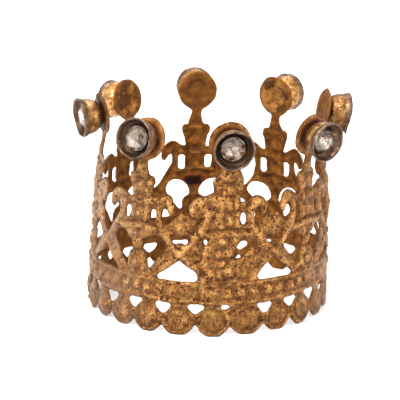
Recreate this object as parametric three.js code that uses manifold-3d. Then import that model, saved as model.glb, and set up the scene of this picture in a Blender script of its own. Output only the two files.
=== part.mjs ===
// Rhinestone crown: one pierced and pressed brass strip closed into a ring, with eight points that
// each end in a flat disc, and a stone in a metal cup on every disc.
// Millimetres, +Z up, the scalloped foot stands on z = 0 and the front point looks towards -Y.
import * as THREE from "three";
import { mergeVertices } from "three/addons/utils/BufferGeometryUtils.js";
import { ConvexGeometry } from "three/addons/geometries/ConvexGeometry.js";
import Module from "manifold-3d";

const wasm = await Module();
wasm.setup();

// Ring
const POINTS = 8;
const FOOT_RADIUS = 25;
const DISC_RING_RADIUS = 23;
const DISC_HEIGHT = 39.2;
const STRIP_THICKNESS = 0.6;
const FACETS_PER_POINT = 3;
const CROWN_LEAN = 1;

// Discs at the tips of the points
const DISC_RADIUS = 4.2;
const DISC_SIDES = 14;

// Cups, measured out from the disc along the cup's own axis
const SOLDER_GAP = 0.35;
const CUP_DEPTH = 4.4;
const CUP_BASE_RADIUS = 2.4;
const CUP_RIM_RADIUS = 4.1;
const CUP_RIM_WIDTH = 0.65;
const CUP_FLOOR = 1.5;
const CUP_FLOOR_RADIUS = 1.5;
const CUP_SIDES = 12;

// Stones
const STONE_RADIUS = 2.3;
const STONE_HEIGHT = 2.1;
const STONE_TABLE_SHARE = 0.55;
const STONE_CROWN_SHARE = 0.36;
const STONE_GIRDLE = 0.15;
const STONE_SIDES = 8;
const STONE_CLEARANCE = 0.4;

// Pressed pattern: the marks that one repeat is drawn from, flat, from the point's own middle
const ROUNDELS_PER_POINT = 3;
const FOOT_FLAT = 0.8;
const NOTCH_HEIGHT = 1.9;
const NOTCH_STEPS = 2;
const BAND_BOTTOM = 6.5;
const BAND_TOP = 10.9;
const BAND_RELIEF = 0.3;
const BAND_BEVEL = 0.3;
const NECK_HALF_WIDTH = 1.05;
const NECK_TOP = 36.2;
const NECK_LAP = 3;
const EAR_HALF_WIDTH = 3.2;
const EAR_TOP = 31.6;
const WAIST_HALF_WIDTH = 2.35;
const WAIST_HEIGHT = 27;
const SCROLL_TOP = 28;
const SCROLL_REACH = 8.5;
const SCROLL_GAP = 2.6;
const STEM_OUTER = 5.5;
const STEM_INNER = 3.9;
const SLOT_INNER = 2.4;
const SLOT_BOTTOM = 21.7;
const SLOT_TOP = 24.9;
const FINIAL_TOP = 25.5;
const FINIAL_HALF_WIDTH = 3.35;
const FINIAL_GAPS = [0, 7];
const JUNCTION_BOTTOM = 15.1;
const JUNCTION_TOP = 18.2;
const CURVE_STEPS = 2;

// The size of the drawing: from one point's middle to the next, and from the foot to the discs
const HALF_REPEAT = SCROLL_REACH + SCROLL_GAP / 2;
const DRAWN_WIDTH = 2 * HALF_REPEAT;
const DRAWN_HEIGHT = NECK_TOP + NECK_LAP;

// Raised studs: beads on the band, roundels at the foot and bosses up each point
const BEADS_PER_POINT = 7;
const BEAD_HEIGHT = 8.85;
const BEAD_RADIUS = 1;
const BEAD_SIDES = 5;
const ROUNDEL_RADIUS = 2.3;
const ROUNDEL_HEIGHT = 3.25;
const ROUNDEL_SIDES = 8;
const BOSS_RADIUS = 1.5;
const BOSS_HEIGHTS = [20.4];
const BOSS_SIDES = 5;
const STUD_RELIEF = 0.4;
const STUD_ROOT = 0.3;
const STUD_SLOPE = 0.45;

// The roundels by the front point are set out wider than the rest, which moves them and the notches
// round: pairs of the even place from the front point and how far the real one is past it
const FOOT_DRIFT = [[-13, 0], [7, 1.35], [20, 1.45], [70, 2.15], [130, 0]];

// The ends of the strip are lapped and soldered on this point, which fills some of its piercings
const SEAM_POINT = 0;
const SEAM_HOLE = { x: -4.8, z: 19, halfWidth: 0.5, halfHeight: 0.65 };
const SEAM_OVAL = { x: 0, z: 6.1, halfWidth: 0.8, halfHeight: 0.5 };
const SEAM_HOLE_SIDES = 6;

// How each point was bent by hand, round from the front point: its disc leans out, sways and rises
// by so many mm, and its cup tilts up and turns by so many degrees
const BEND_START = 25.5;
const POINT_BENDS = [
  { lean: 0, sway: -0.2, rise: -0.2, tilt: -7, turn: 1 },
  { lean: 1.2, sway: 0.3, rise: -0.6, tilt: -9, turn: -14 },
  { lean: 0.4, sway: 0.3, rise: 0.6, tilt: -12, turn: 4 },
  { lean: 0, sway: 0.1, rise: 0, tilt: 2, turn: 0 },
  { lean: 0, sway: 0, rise: 0.2, tilt: 1, turn: 0 },
  { lean: 0, sway: 0, rise: 0.1, tilt: -9, turn: -6 },
  { lean: 0.2, sway: -0.5, rise: 0.8, tilt: -7, turn: 12 },
  { lean: 0, sway: 0.6, rise: -0.4, tilt: 12, turn: 3 },
];

// How far a piercing tool reaches to each side of the wall
const CUTTER_REACH = 5;
const MERGE_TOLERANCE = 1e-4;
const FLAT_TOLERANCE = 2e-4;

const REPEAT_ANGLE = (2 * Math.PI) / POINTS;
const WALL_SLOPE = (FOOT_RADIUS - DISC_RING_RADIUS) / DISC_HEIGHT;
const HEIGHT_SCALE = DISC_HEIGHT / DRAWN_HEIGHT;
const BEND_LENGTH = (DRAWN_HEIGHT - BEND_START) * HEIGHT_SCALE;

function wallRadius(height) {
  return FOOT_RADIUS - WALL_SLOPE * height;
}

// From the flat drawing to the ring: x runs round from the front point, z up, depth outwards
function onWall(x, z, depth) {
  const angle = (x / DRAWN_WIDTH) * REPEAT_ANGLE;
  const height = z * HEIGHT_SCALE;
  const radius = wallRadius(height) + depth;
  return new THREE.Vector3(radius * Math.sin(angle), -radius * Math.cos(angle), height);
}

// The point that a place on the ring belongs to, counted from the front
function pointIndex(place) {
  const turn = Math.atan2(place.x, -place.y);
  return (Math.round(turn / REPEAT_ANGLE) + POINTS) % POINTS;
}

// Hand bending: a point leaves the cone above its scrolls and meets its disc at the disc's own slope
function bent(place) {
  const index = pointIndex(place);
  const bend = POINT_BENDS[index % POINT_BENDS.length];
  const angle = index * REPEAT_ANGLE;
  const share = Math.max(0, (place.z - BEND_START * HEIGHT_SCALE) / BEND_LENGTH);
  const endSlope = (WALL_SLOPE - Math.tan(THREE.MathUtils.degToRad(bend.tilt))) * BEND_LENGTH;
  const cubic = endSlope - 2 * bend.lean;
  const out = (bend.lean - cubic) * share ** 2 + cubic * share ** 3;
  const side = bend.sway * share ** 2;
  return new THREE.Vector3(
    place.x + out * Math.sin(angle) + side * Math.cos(angle) + CROWN_LEAN * (place.z / DISC_HEIGHT),
    place.y - out * Math.cos(angle) + side * Math.sin(angle),
    place.z + bend.rise * share ** 2,
  );
}

// Welding drops the slivers that a lathe leaves on its axis
function welded(geometry) {
  const bare = geometry.clone();
  bare.deleteAttribute("normal");
  bare.deleteAttribute("uv");
  const merged = mergeVertices(bare, MERGE_TOLERANCE);
  const corners = merged.index.array;
  const kept = [];
  for (let i = 0; i < corners.length; i += 3) {
    const [a, b, c] = [corners[i], corners[i + 1], corners[i + 2]];
    if (a !== b && b !== c && c !== a) {
      kept.push(a, b, c);
    }
  }
  merged.setIndex(kept);
  return merged;
}

function solidOf(geometry) {
  const body = welded(geometry);
  const vertProperties = new Float32Array(body.attributes.position.array);
  const triVerts = new Uint32Array(body.index.array);
  return new wasm.Manifold(new wasm.Mesh({ numProp: 3, vertProperties, triVerts }));
}

function geometryOf(solid) {
  const mesh = solid.getMesh();
  const geometry = new THREE.BufferGeometry();
  geometry.setAttribute("position", new THREE.BufferAttribute(mesh.vertProperties, 3));
  geometry.setIndex(new THREE.BufferAttribute(mesh.triVerts, 1));
  geometry.computeVertexNormals();
  return geometry;
}

function isFlat(one, other) {
  return one.dot(other) > 1 - FLAT_TOLERANCE;
}

// The neighbour that a needless corner can be drawn into: the corner lies inside a flat face or
// along a straight edge, and no triangle round it may turn over or shrink to nothing
function cornerTarget(corner, fan, triangles, points) {
  const normalOf = (tri) => new THREE.Triangle(...tri.map((i) => points[i])).getNormal(new THREE.Vector3());
  const normals = fan.map((t) => normalOf(triangles[t]));
  const sides = new Map();
  fan.forEach((t, place) => {
    for (const other of triangles[t].filter((i) => i !== corner)) {
      sides.set(other, [...(sides.get(other) ?? []), place]);
    }
  });
  const creases = [...sides].filter(([, [one, two]]) => !isFlat(normals[one], normals[two]));
  const ways = creases.map(([other]) => points[other].clone().sub(points[corner]).normalize());
  const straight = creases.length === 2 && isFlat(ways[0], ways[1].clone().negate());
  if (creases.length > 0 && !straight) {
    return undefined;
  }
  const targets = creases.length > 0 ? creases.map(([other]) => other) : [...sides.keys()];
  return targets.find((target) => fan.every((t, place) => {
    if (triangles[t].includes(target)) {
      return true;
    }
    const moved = triangles[t].map((i) => (i === corner ? target : i));
    const area = new THREE.Triangle(...moved.map((i) => points[i])).getArea();
    return area > FLAT_TOLERANCE && isFlat(normals[place], normalOf(moved));
  }));
}

// Cutting leaves corners in the middle of straight edges; this draws them into their neighbours
function withoutNeedlessCorners(geometry) {
  const position = geometry.attributes.position;
  const points = Array.from({ length: position.count }, (_, i) =>
    new THREE.Vector3().fromBufferAttribute(position, i));
  const triangles = [];
  const fans = points.map(() => new Set());
  for (let i = 0; i < geometry.index.count; i += 3) {
    const tri = [0, 1, 2].map((n) => geometry.index.getX(i + n));
    tri.forEach((corner) => fans[corner].add(triangles.length));
    triangles.push(tri);
  }
  const neighbours = (corner) => new Set([...fans[corner]].flatMap((t) => triangles[t]));
  for (let changed = true; changed;) {
    changed = false;
    for (let corner = 0; corner < points.length; corner += 1) {
      const fan = [...fans[corner]];
      const target = fan.length > 0 ? cornerTarget(corner, fan, triangles, points) : undefined;
      if (target === undefined) {
        continue;
      }
      const around = neighbours(target);
      const shared = [...neighbours(corner)].filter((i) => around.has(i));
      if (shared.length !== 4) {
        continue;
      }
      for (const t of fan) {
        const tri = triangles[t];
        if (tri.includes(target)) {
          tri.forEach((i) => fans[i].delete(t));
          triangles[t] = null;
        } else {
          triangles[t] = tri.map((i) => (i === corner ? target : i));
          fans[target].add(t);
        }
      }
      fans[corner].clear();
      changed = true;
    }
  }
  const tidy = geometry.clone();
  tidy.setIndex(triangles.filter((tri) => tri !== null).flat());
  return tidy;
}

// A body turned round the +Z axis, from a profile of [radius, height] pairs that closes
function lathed(profile, sides) {
  const points = profile.map(([radius, height]) => new THREE.Vector2(radius, height));
  const geometry = new THREE.LatheGeometry(points, sides);
  geometry.rotateX(Math.PI / 2);
  return geometry;
}

// The plain wall, with the raised band that carries the beads
function wallSolid() {
  const outer = (z, depth) => [wallRadius(z * HEIGHT_SCALE) + depth, z * HEIGHT_SCALE];
  const profile = [
    outer(0, 0),
    outer(BAND_BOTTOM, 0),
    outer(BAND_BOTTOM + BAND_BEVEL, BAND_RELIEF),
    outer(BAND_TOP - BAND_BEVEL, BAND_RELIEF),
    outer(BAND_TOP, 0),
    outer(NECK_TOP, 0),
    outer(NECK_TOP, -STRIP_THICKNESS),
    outer(0, -STRIP_THICKNESS),
    outer(0, 0),
  ];
  return solidOf(lathed(profile, POINTS * FACETS_PER_POINT));
}

// A straight cutter through the wall with the outline of a flat drawing. Its middle is at x = middle
// and it cuts square to the wall there, so that its sides stay flat
function cutter(outline, middle) {
  const turned = outline.map((p) => {
    const place = onWall(p.x, p.y, 0);
    return new THREE.Vector2(place.x, place.z);
  });
  const geometry = new THREE.ExtrudeGeometry(new THREE.Shape(turned), {
    depth: 2 * CUTTER_REACH,
    steps: 1,
    bevelEnabled: false,
  });
  geometry.rotateX(Math.PI / 2);
  geometry.translate(0, CUTTER_REACH - FOOT_RADIUS, 0);
  geometry.rotateZ((middle / DRAWN_WIDTH) * REPEAT_ANGLE);
  return solidOf(geometry);
}

// The same outline on the other side of the middle
function flipped(outline) {
  return outline.map((p) => new THREE.Vector2(-p.x, p.y)).reverse();
}

// A whole outline from one half of it
function mirrored(half) {
  return [...half, ...flipped(half)];
}

// One side of the opening above the strip, from a point's neck down to the middle of the gap. It
// ends on a finial or on the bare junction of two stems, and the lapped side has no hook
function skySide(hasFinial, isLapped) {
  const finialSide = HALF_REPEAT - FINIAL_HALF_WIDTH;
  const path = new THREE.Path();
  path.moveTo(NECK_HALF_WIDTH, DRAWN_HEIGHT);
  path.lineTo(NECK_HALF_WIDTH, EAR_TOP + 3);
  path.lineTo(NECK_HALF_WIDTH + 0.7, EAR_TOP + 0.2);
  path.lineTo(EAR_HALF_WIDTH - 0.4, EAR_TOP);
  path.lineTo(EAR_HALF_WIDTH, EAR_TOP - 1.4);
  path.lineTo(WAIST_HALF_WIDTH + 0.4, WAIST_HEIGHT + 1.5);
  path.lineTo(WAIST_HALF_WIDTH, WAIST_HEIGHT);
  path.lineTo(WAIST_HALF_WIDTH + 1.8, SCROLL_TOP - 0.4);
  path.lineTo(SCROLL_REACH - 2.4, SCROLL_TOP);
  path.quadraticCurveTo(SCROLL_REACH, SCROLL_TOP - 0.1, SCROLL_REACH, SCROLL_TOP - 2.2);
  if (!isLapped) {
    path.quadraticCurveTo(SCROLL_REACH, SCROLL_TOP - 3.9, SCROLL_REACH - 0.8, SCROLL_TOP - 3.9);
    path.lineTo(SCROLL_REACH - 1.4, SCROLL_TOP - 3);
    path.lineTo(SCROLL_REACH - 2.2, SCROLL_TOP - 2.3);
    path.lineTo(STEM_OUTER, SCROLL_TOP - 3.2);
    path.lineTo(STEM_OUTER, SLOT_BOTTOM + 1.1);
  }
  if (hasFinial && !isLapped) {
    path.lineTo(finialSide, FINIAL_TOP - 2.8);
    path.lineTo(HALF_REPEAT - 1.5, FINIAL_TOP - 2);
  }
  if (hasFinial) {
    path.lineTo(HALF_REPEAT - 0.7, FINIAL_TOP - 1.2);
    path.lineTo(HALF_REPEAT - 0.3, FINIAL_TOP);
  } else {
    path.lineTo(STEM_OUTER + 1, SLOT_BOTTOM + 0.1);
    path.lineTo(HALF_REPEAT - 1.3, JUNCTION_TOP + 0.5);
    path.lineTo(HALF_REPEAT - 0.3, JUNCTION_TOP - 0.2);
  }
  return path.getPoints(CURVE_STEPS).map((p) => new THREE.Vector2(p.x - HALF_REPEAT, p.y));
}

// Everything above the strip between a point and the next, counted from the front gap on the right
function skyOutline(gap) {
  const hasFinial = FINIAL_GAPS.includes(gap);
  const isLapped = (gap + 1) % POINTS === SEAM_POINT;
  return [...skySide(hasFinial, false), ...flipped(skySide(hasFinial, isLapped))];
}

// The round-topped notch between two roundels, along arcs of the roundels' own circles
function notchOutline() {
  const radius = DRAWN_WIDTH / ROUNDELS_PER_POINT / 2;
  const high = Math.asin(1 - NOTCH_HEIGHT / radius);
  const low = Math.acos(FOOT_FLAT / radius);
  const path = new THREE.Path();
  path.moveTo(radius * (1 - Math.cos(high)), NOTCH_HEIGHT);
  for (let i = 1; i <= NOTCH_STEPS; i += 1) {
    const angle = high + ((low - high) * i) / NOTCH_STEPS;
    path.lineTo(radius * (1 - Math.cos(angle)), radius * (1 - Math.sin(angle)));
  }
  path.lineTo(radius - FOOT_FLAT, -STRIP_THICKNESS);
  return mirrored(path.getPoints(CURVE_STEPS));
}

// The three-cornered hole above each notch
function triangleOutline() {
  const path = new THREE.Path();
  path.moveTo(1.4, BAND_BOTTOM);
  path.lineTo(1.7, BAND_BOTTOM - 0.7);
  path.lineTo(0.4, BAND_BOTTOM - 2.1);
  return mirrored(path.getPoints(CURVE_STEPS));
}

// The wide opening between two points, flat below and pointed above
function archOutline() {
  const path = new THREE.Path();
  path.moveTo(0.3, JUNCTION_BOTTOM);
  path.lineTo(1.1, JUNCTION_BOTTOM - 0.8);
  path.lineTo(3.3, JUNCTION_BOTTOM - 2.4);
  path.lineTo(4.7, BAND_TOP + 0.7);
  path.lineTo(4.3, BAND_TOP);
  return mirrored(path.getPoints(CURVE_STEPS));
}

// The small opening over the crossing of the arms, under the finial
function heartOutline() {
  const path = new THREE.Path();
  path.moveTo(0.6, JUNCTION_TOP + 1.7);
  path.lineTo(1.5, JUNCTION_TOP + 1.6);
  path.lineTo(1.9, JUNCTION_TOP + 0.9);
  path.lineTo(0.8, JUNCTION_TOP + 0.1);
  return mirrored(path.getPoints(CURVE_STEPS));
}

// The kidney-shaped opening to the right of each point's middle
function kidneyOutline() {
  const path = new THREE.Path();
  path.moveTo(SCROLL_REACH - 5.3, JUNCTION_TOP + 0.9);
  path.quadraticCurveTo(SCROLL_REACH - 2.7, JUNCTION_TOP + 1.4, SCROLL_REACH - 1.7, JUNCTION_TOP - 0.8);
  path.lineTo(SCROLL_REACH - 2, JUNCTION_TOP - 1.8);
  path.lineTo(SCROLL_REACH - 4.3, JUNCTION_BOTTOM - 0.5);
  path.lineTo(SCROLL_REACH - 6, JUNCTION_BOTTOM - 2.5);
  path.quadraticCurveTo(SCROLL_REACH - 6.1, JUNCTION_BOTTOM + 0.1, 0.8, JUNCTION_BOTTOM + 0.8);
  path.lineTo(1.4, JUNCTION_TOP - 0.9);
  return path.getPoints(CURVE_STEPS);
}

// The upright slot between the stem and the middle
function slotOutline() {
  const path = new THREE.Path();
  path.moveTo(SLOT_INNER, SLOT_BOTTOM + 0.6);
  path.lineTo(SLOT_INNER + 0.5, SLOT_BOTTOM);
  path.lineTo(STEM_INNER, SLOT_BOTTOM + 0.3);
  path.lineTo(STEM_INNER, SLOT_TOP - 0.4);
  path.lineTo(STEM_INNER - 0.5, SLOT_TOP);
  path.lineTo(SLOT_INNER, SLOT_TOP - 0.7);
  return path.getPoints(CURVE_STEPS);
}

// A small oval left open where solder has run into a hole
function solderedOutline(hole) {
  const path = new THREE.Path();
  for (let i = 0; i < SEAM_HOLE_SIDES; i += 1) {
    const angle = (2 * Math.PI * i) / SEAM_HOLE_SIDES;
    const x = hole.x + hole.halfWidth * Math.cos(angle);
    const z = hole.z + hole.halfHeight * Math.sin(angle);
    if (i === 0) {
      path.moveTo(x, z);
    } else {
      path.lineTo(x, z);
    }
  }
  return path.getPoints(CURVE_STEPS);
}

// Where a mark at the foot really stands, for its even place on the drawing
function footPlace(x) {
  const turn = x > DRAWN_WIDTH * (POINTS - 1) ? x - DRAWN_WIDTH * POINTS : x;
  const last = FOOT_DRIFT.findIndex(([place]) => place > turn);
  if (last <= 0) {
    return x;
  }
  const [[from, less], [to, more]] = FOOT_DRIFT.slice(last - 1, last + 1);
  return x + THREE.MathUtils.mapLinear(turn, from, to, less, more);
}

// All the cutters of one repeat, whose middle is at x = middle
function piercings(index) {
  const middle = index * DRAWN_WIDTH;
  const pitch = DRAWN_WIDTH / ROUNDELS_PER_POINT;
  const seam = index === SEAM_POINT;
  const cutters = [
    cutter(skyOutline(index), middle + HALF_REPEAT),
    cutter(archOutline(), middle + HALF_REPEAT),
    cutter(kidneyOutline(), middle),
    cutter(slotOutline(), middle),
    cutter(seam ? solderedOutline(SEAM_HOLE) : flipped(kidneyOutline()), middle),
  ];
  if (!seam) {
    cutters.push(cutter(flipped(slotOutline()), middle));
  }
  if (FINIAL_GAPS.includes(index)) {
    cutters.push(cutter(heartOutline(), middle + HALF_REPEAT));
  }
  for (let i = 0; i < ROUNDELS_PER_POINT; i += 1) {
    const valley = middle + i * pitch;
    cutters.push(cutter(notchOutline(), footPlace(valley)));
    if (seam && i === 0) {
      cutters.push(cutter(solderedOutline(SEAM_OVAL), valley));
    } else {
      cutters.push(cutter(triangleOutline(), footPlace(valley)));
    }
  }
  return cutters;
}

// A low stud with sloping sides, rooted in the wall; depth is the face of the wall under it
function stud(x, z, depth, radius, sides) {
  const height = STUD_ROOT + STUD_RELIEF;
  const geometry = new THREE.CylinderGeometry(radius - STUD_SLOPE, radius, height, sides);
  geometry.rotateX(Math.PI);
  const holder = new THREE.Object3D();
  holder.position.copy(onWall(x, z, depth + height / 2 - STUD_ROOT));
  holder.rotation.set(0, 0, (x / DRAWN_WIDTH) * REPEAT_ANGLE);
  holder.updateMatrix();
  geometry.applyMatrix4(holder.matrix);
  return solidOf(geometry);
}

function studs(index) {
  const middle = index * DRAWN_WIDTH;
  const beadPitch = DRAWN_WIDTH / BEADS_PER_POINT;
  const roundelPitch = DRAWN_WIDTH / ROUNDELS_PER_POINT;
  const raised = BOSS_HEIGHTS.map((z) => stud(middle, z, 0, BOSS_RADIUS, BOSS_SIDES));
  for (let i = 0; i < BEADS_PER_POINT; i += 1) {
    raised.push(stud(middle + i * beadPitch, BEAD_HEIGHT, BAND_RELIEF, BEAD_RADIUS, BEAD_SIDES));
  }
  for (let i = 0; i < ROUNDELS_PER_POINT; i += 1) {
    const x = footPlace(middle + (i + 1 / 2) * roundelPitch);
    raised.push(stud(x, ROUNDEL_HEIGHT, 0, ROUNDEL_RADIUS, ROUNDEL_SIDES));
  }
  return raised;
}

// The place of a point's disc: its own +Z looks out along the cup's axis, from the disc's face
function pointPlace(index) {
  const bend = POINT_BENDS[index % POINT_BENDS.length];
  const place = new THREE.Group();
  place.position.copy(bent(onWall(index * DRAWN_WIDTH, DRAWN_HEIGHT, 0)));
  const tilt = THREE.MathUtils.degToRad(bend.tilt);
  const turn = THREE.MathUtils.degToRad(bend.turn);
  place.rotation.set(Math.PI / 2 - tilt, 0, index * REPEAT_ANGLE + turn, "ZXY");
  place.updateMatrix();
  return place;
}

function discSolid(place) {
  const geometry = new THREE.CylinderGeometry(DISC_RADIUS, DISC_RADIUS, STRIP_THICKNESS, DISC_SIDES);
  geometry.rotateX(Math.PI / 2);
  geometry.translate(0, 0, -STRIP_THICKNESS / 2);
  geometry.applyMatrix4(place.matrix);
  return solidOf(geometry);
}

// The strip: pierced and pressed on the cone, then bent by hand, then joined with its discs
function bandGeometry(places) {
  const indexes = Array.from({ length: POINTS }, (_, index) => index);
  let solid = wallSolid();
  for (const raised of indexes.flatMap((index) => studs(index))) {
    solid = solid.add(raised);
  }
  for (const hole of indexes.flatMap((index) => piercings(index))) {
    solid = solid.subtract(hole);
  }
  const shaped = withoutNeedlessCorners(geometryOf(solid));
  const position = shaped.attributes.position;
  for (let i = 0; i < position.count; i += 1) {
    const place = bent(new THREE.Vector3().fromBufferAttribute(position, i));
    position.setXYZ(i, place.x, place.y, place.z);
  }
  let whole = solidOf(shaped);
  for (const place of places) {
    whole = whole.add(discSolid(place));
  }
  return geometryOf(whole);
}

// A spun cup: a narrow base, a flaring bowl, a broad rim and a well for the stone
function cupGeometry() {
  const rim = SOLDER_GAP + CUP_DEPTH;
  const floor = SOLDER_GAP + CUP_FLOOR;
  const seat = floor + CUP_DEPTH * 0.3;
  const profile = [
    [0, SOLDER_GAP],
    [CUP_BASE_RADIUS, SOLDER_GAP],
    [CUP_RIM_RADIUS - 0.5, SOLDER_GAP + CUP_DEPTH * 0.5],
    [CUP_RIM_RADIUS, rim],
    [CUP_RIM_RADIUS - CUP_RIM_WIDTH, rim],
    [STONE_RADIUS + STONE_CLEARANCE, seat],
    [CUP_FLOOR_RADIUS, floor],
    [0, floor],
  ];
  return lathed(profile, CUP_SIDES);
}

function ringOf(radius, height, sides, turn) {
  return Array.from({ length: sides }, (_, i) => {
    const angle = (2 * Math.PI * (i + turn)) / sides;
    return new THREE.Vector3(radius * Math.cos(angle), radius * Math.sin(angle), height);
  });
}

// A cut stone standing in the cup's well: table, slanting crown, girdle and pointed back
function stoneGeometry() {
  const back = SOLDER_GAP + CUP_FLOOR + STONE_CLEARANCE;
  const top = back + STONE_HEIGHT;
  const girdle = top - STONE_HEIGHT * STONE_CROWN_SHARE;
  return new ConvexGeometry([
    ...ringOf(STONE_RADIUS * STONE_TABLE_SHARE, top, STONE_SIDES, 1 / 2),
    ...ringOf(STONE_RADIUS, girdle, STONE_SIDES, 0),
    ...ringOf(STONE_RADIUS, girdle - STONE_GIRDLE, STONE_SIDES, 0),
    new THREE.Vector3(0, 0, back),
  ]);
}

const brass = new THREE.MeshStandardMaterial({ color: 0xb0783c, roughness: 0.55, metalness: 0.9 });
const tinned = new THREE.MeshStandardMaterial({ color: 0x8a7a66, roughness: 0.4, metalness: 0.9 });
const crystal = new THREE.MeshStandardMaterial({ color: 0xe9e4da, roughness: 0.05, metalness: 0 });

const crown = new THREE.Group();
const places = Array.from({ length: POINTS }, (_, index) => pointPlace(index));
const band = new THREE.Mesh(bandGeometry(places), brass);
band.name = "crown_band";
crown.add(band);
places.forEach((place, index) => {
  const cup = new THREE.Mesh(cupGeometry(), tinned);
  cup.name = `stone_cup_${index + 1}`;
  const stone = new THREE.Mesh(stoneGeometry(), crystal);
  stone.name = `rhinestone_${index + 1}`;
  place.add(cup, stone);
  crown.add(place);
});

// The hand bending moves the crown's middle a little, so the whole is set back on the origin
const middle = new THREE.Box3().setFromObject(crown).getCenter(new THREE.Vector3());
crown.position.set(-middle.x, -middle.y, 0);
crown.updateMatrixWorld(true);

export default crown;
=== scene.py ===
"""Rhinestone crown: a small gilt crown of pierced and pressed sheet brass, with eight points that
each carry a stone in a tinned cup. Laid out as an add-on and run as a script."""

import math

import bpy
import numpy as np
from mathutils import Matrix, Vector


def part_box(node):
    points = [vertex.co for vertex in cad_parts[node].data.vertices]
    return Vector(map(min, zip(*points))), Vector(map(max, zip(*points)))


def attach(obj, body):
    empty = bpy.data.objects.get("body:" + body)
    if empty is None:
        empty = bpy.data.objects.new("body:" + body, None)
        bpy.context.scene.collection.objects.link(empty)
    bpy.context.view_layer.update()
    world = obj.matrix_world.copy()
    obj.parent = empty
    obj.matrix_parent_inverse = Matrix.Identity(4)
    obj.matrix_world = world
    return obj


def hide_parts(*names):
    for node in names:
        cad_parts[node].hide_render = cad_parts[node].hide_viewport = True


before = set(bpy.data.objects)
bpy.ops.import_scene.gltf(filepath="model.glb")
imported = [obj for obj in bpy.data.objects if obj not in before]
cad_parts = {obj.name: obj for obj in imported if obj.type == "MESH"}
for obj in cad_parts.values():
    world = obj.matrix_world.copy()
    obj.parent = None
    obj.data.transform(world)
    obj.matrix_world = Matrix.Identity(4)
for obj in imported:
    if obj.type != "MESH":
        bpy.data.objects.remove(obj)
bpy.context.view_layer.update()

bl_info = {
    "name": "Rhinestone crown",
    "version": (1, 0, 0),
    "blender": (4, 5, 0),
    "location": "View3D > Sidebar > Crown",
    "description": "Builds a small gilt crown with eight stones in cups",
    "category": "Object",
}

MM = 0.001
SMOOTH_ANGLE = math.radians(50)
# In metres: points this near to each other count as one place, or are merged
SAME_PLACE = 1e-7
MERGED = 1e-6

# The flat drawing of the strip, in mm: x runs round the crown from the front point, z up
POINTS = 8
REPEAT = 19.6
HALF_REPEAT = REPEAT / 2
GIRTH = POINTS * REPEAT
ROUNDELS_PER_POINT = 3
ROUNDELS = ROUNDELS_PER_POINT * POINTS
ROUNDEL_PITCH = REPEAT / ROUNDELS_PER_POINT
BEADS_PER_POINT = 7
BEAD_PITCH = REPEAT / BEADS_PER_POINT
# The middles of the discs lie at the first of these heights, and the grid reaches the second
DRAWN_HEIGHT = 39.2
DRAWN_TOP = 43.9
GRID_STEP = 0.32
BEND_START = 25.5
CROWN_LEAN = 1.0

# Further down, a pair of levels says where something starts and where it is full. From the first
# of these the metal follows its disc's own flat frame, and from the second it is free of relief
DISC_FRAME = (32.5, 35.8)
DISC_CALM = (33.5, 36)

# How each point was bent by hand: its disc leans out, sways and rises by so many mm, and its cup
# tilts up and turns by so many degrees
POINT_BENDS = [
    (0.0, -0.2, -0.2, -7, 1),
    (1.2, 0.3, -0.6, -9, -14),
    (0.4, 0.3, 0.6, -12, 4),
    (0.0, 0.1, 0.0, 2, 0),
    (0.0, 0.0, 0.2, 1, 0),
    (0.0, 0.0, 0.1, -9, -6),
    (0.2, -0.5, 0.8, -7, 12),
    (0.0, 0.6, -0.4, 12, 3),
]

# The scroll after the third point is pushed out: where along the drawing, how far either way, how
# much, and the levels of the push
PUSHED_SCROLL = (46.0, 5.5, 1.7)
PUSHED_LEVELS = (17.0, 23.5)

# Outlines of the piercings in mm, each to one side of the middle of its point, gap or valley. The
# other side mirrors it, apart from the necks and scrolls that are named for their place
NECK = [
    (1.05, 38.5), (1.05, 35.3), (1.15, 34.2), (1.45, 33.0), (1.75, 32.05), (1.95, 31.8),
    (2.7, 31.75), (3.05, 31.6), (3.3, 31.1), (3.35, 30.4), (3.1, 29.8), (2.8, 29.2), (2.6, 28.2),
]
NECK_FORWARD_RIGHT = [
    (2.0, 38.5), (2.0, 34.0), (2.4, 33.0), (2.8, 32.0), (2.95, 30.8), (2.6, 29.2), (2.35, 28.2),
]
NECK_FORWARD_LEFT = [
    (2.0, 38.5), (1.9, 33.8), (2.5, 32.4), (3.4, 31.7), (3.65, 31.0), (3.35, 30.0), (3.1, 28.6),
]
NECK_SLIM = [
    (1.05, 38.5), (1.0, 35.0), (1.05, 33.4), (1.5, 32.0), (2.2, 31.6), (2.5, 31.0), (2.45, 30.0),
    (2.1, 28.8), (1.9, 28.0),
]
NECKS_BESIDE_GAPS = {
    0: (NECK_FORWARD_RIGHT, NECK),
    1: (NECK_SLIM, NECK),
    POINTS - 1: (NECK, NECK_FORWARD_LEFT),
}
WAIST_AND_SCROLL = [
    (2.4, 27.3), (2.6, 26.95), (3.4, 27.1), (4.3, 27.7), (5.2, 28.2), (6.2, 28.3), (7.2, 27.9),
    (7.9, 27.0), (8.25, 25.8), (8.1, 24.6), (7.6, 24.0), (7.1, 24.05), (6.75, 24.6), (6.4, 25.15),
    (5.95, 25.35), (5.6, 25.0), (5.45, 24.2), (5.45, 23.3),
]
SCROLL_WIDE = [
    (2.4, 27.0), (2.7, 26.6), (3.5, 26.7), (4.4, 27.2), (5.4, 27.6), (6.6, 27.65), (7.8, 27.3),
    (8.8, 26.6), (9.3, 25.4), (9.1, 24.3), (8.5, 23.7), (7.8, 23.75), (7.3, 24.2), (6.85, 24.6),
    (6.3, 24.75), (5.8, 24.6), (5.5, 24.1), (5.45, 23.3),
]
SCROLLS_BESIDE_GAPS = {POINTS - 2: (WAIST_AND_SCROLL, SCROLL_WIDE)}
STEM_TO_JUNCTION = [(5.8, 22.7), (6.5, 21.8), (7.6, 20.1), (8.5, 18.8), (9.2, 18.2), (9.8, 18.0)]
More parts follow.
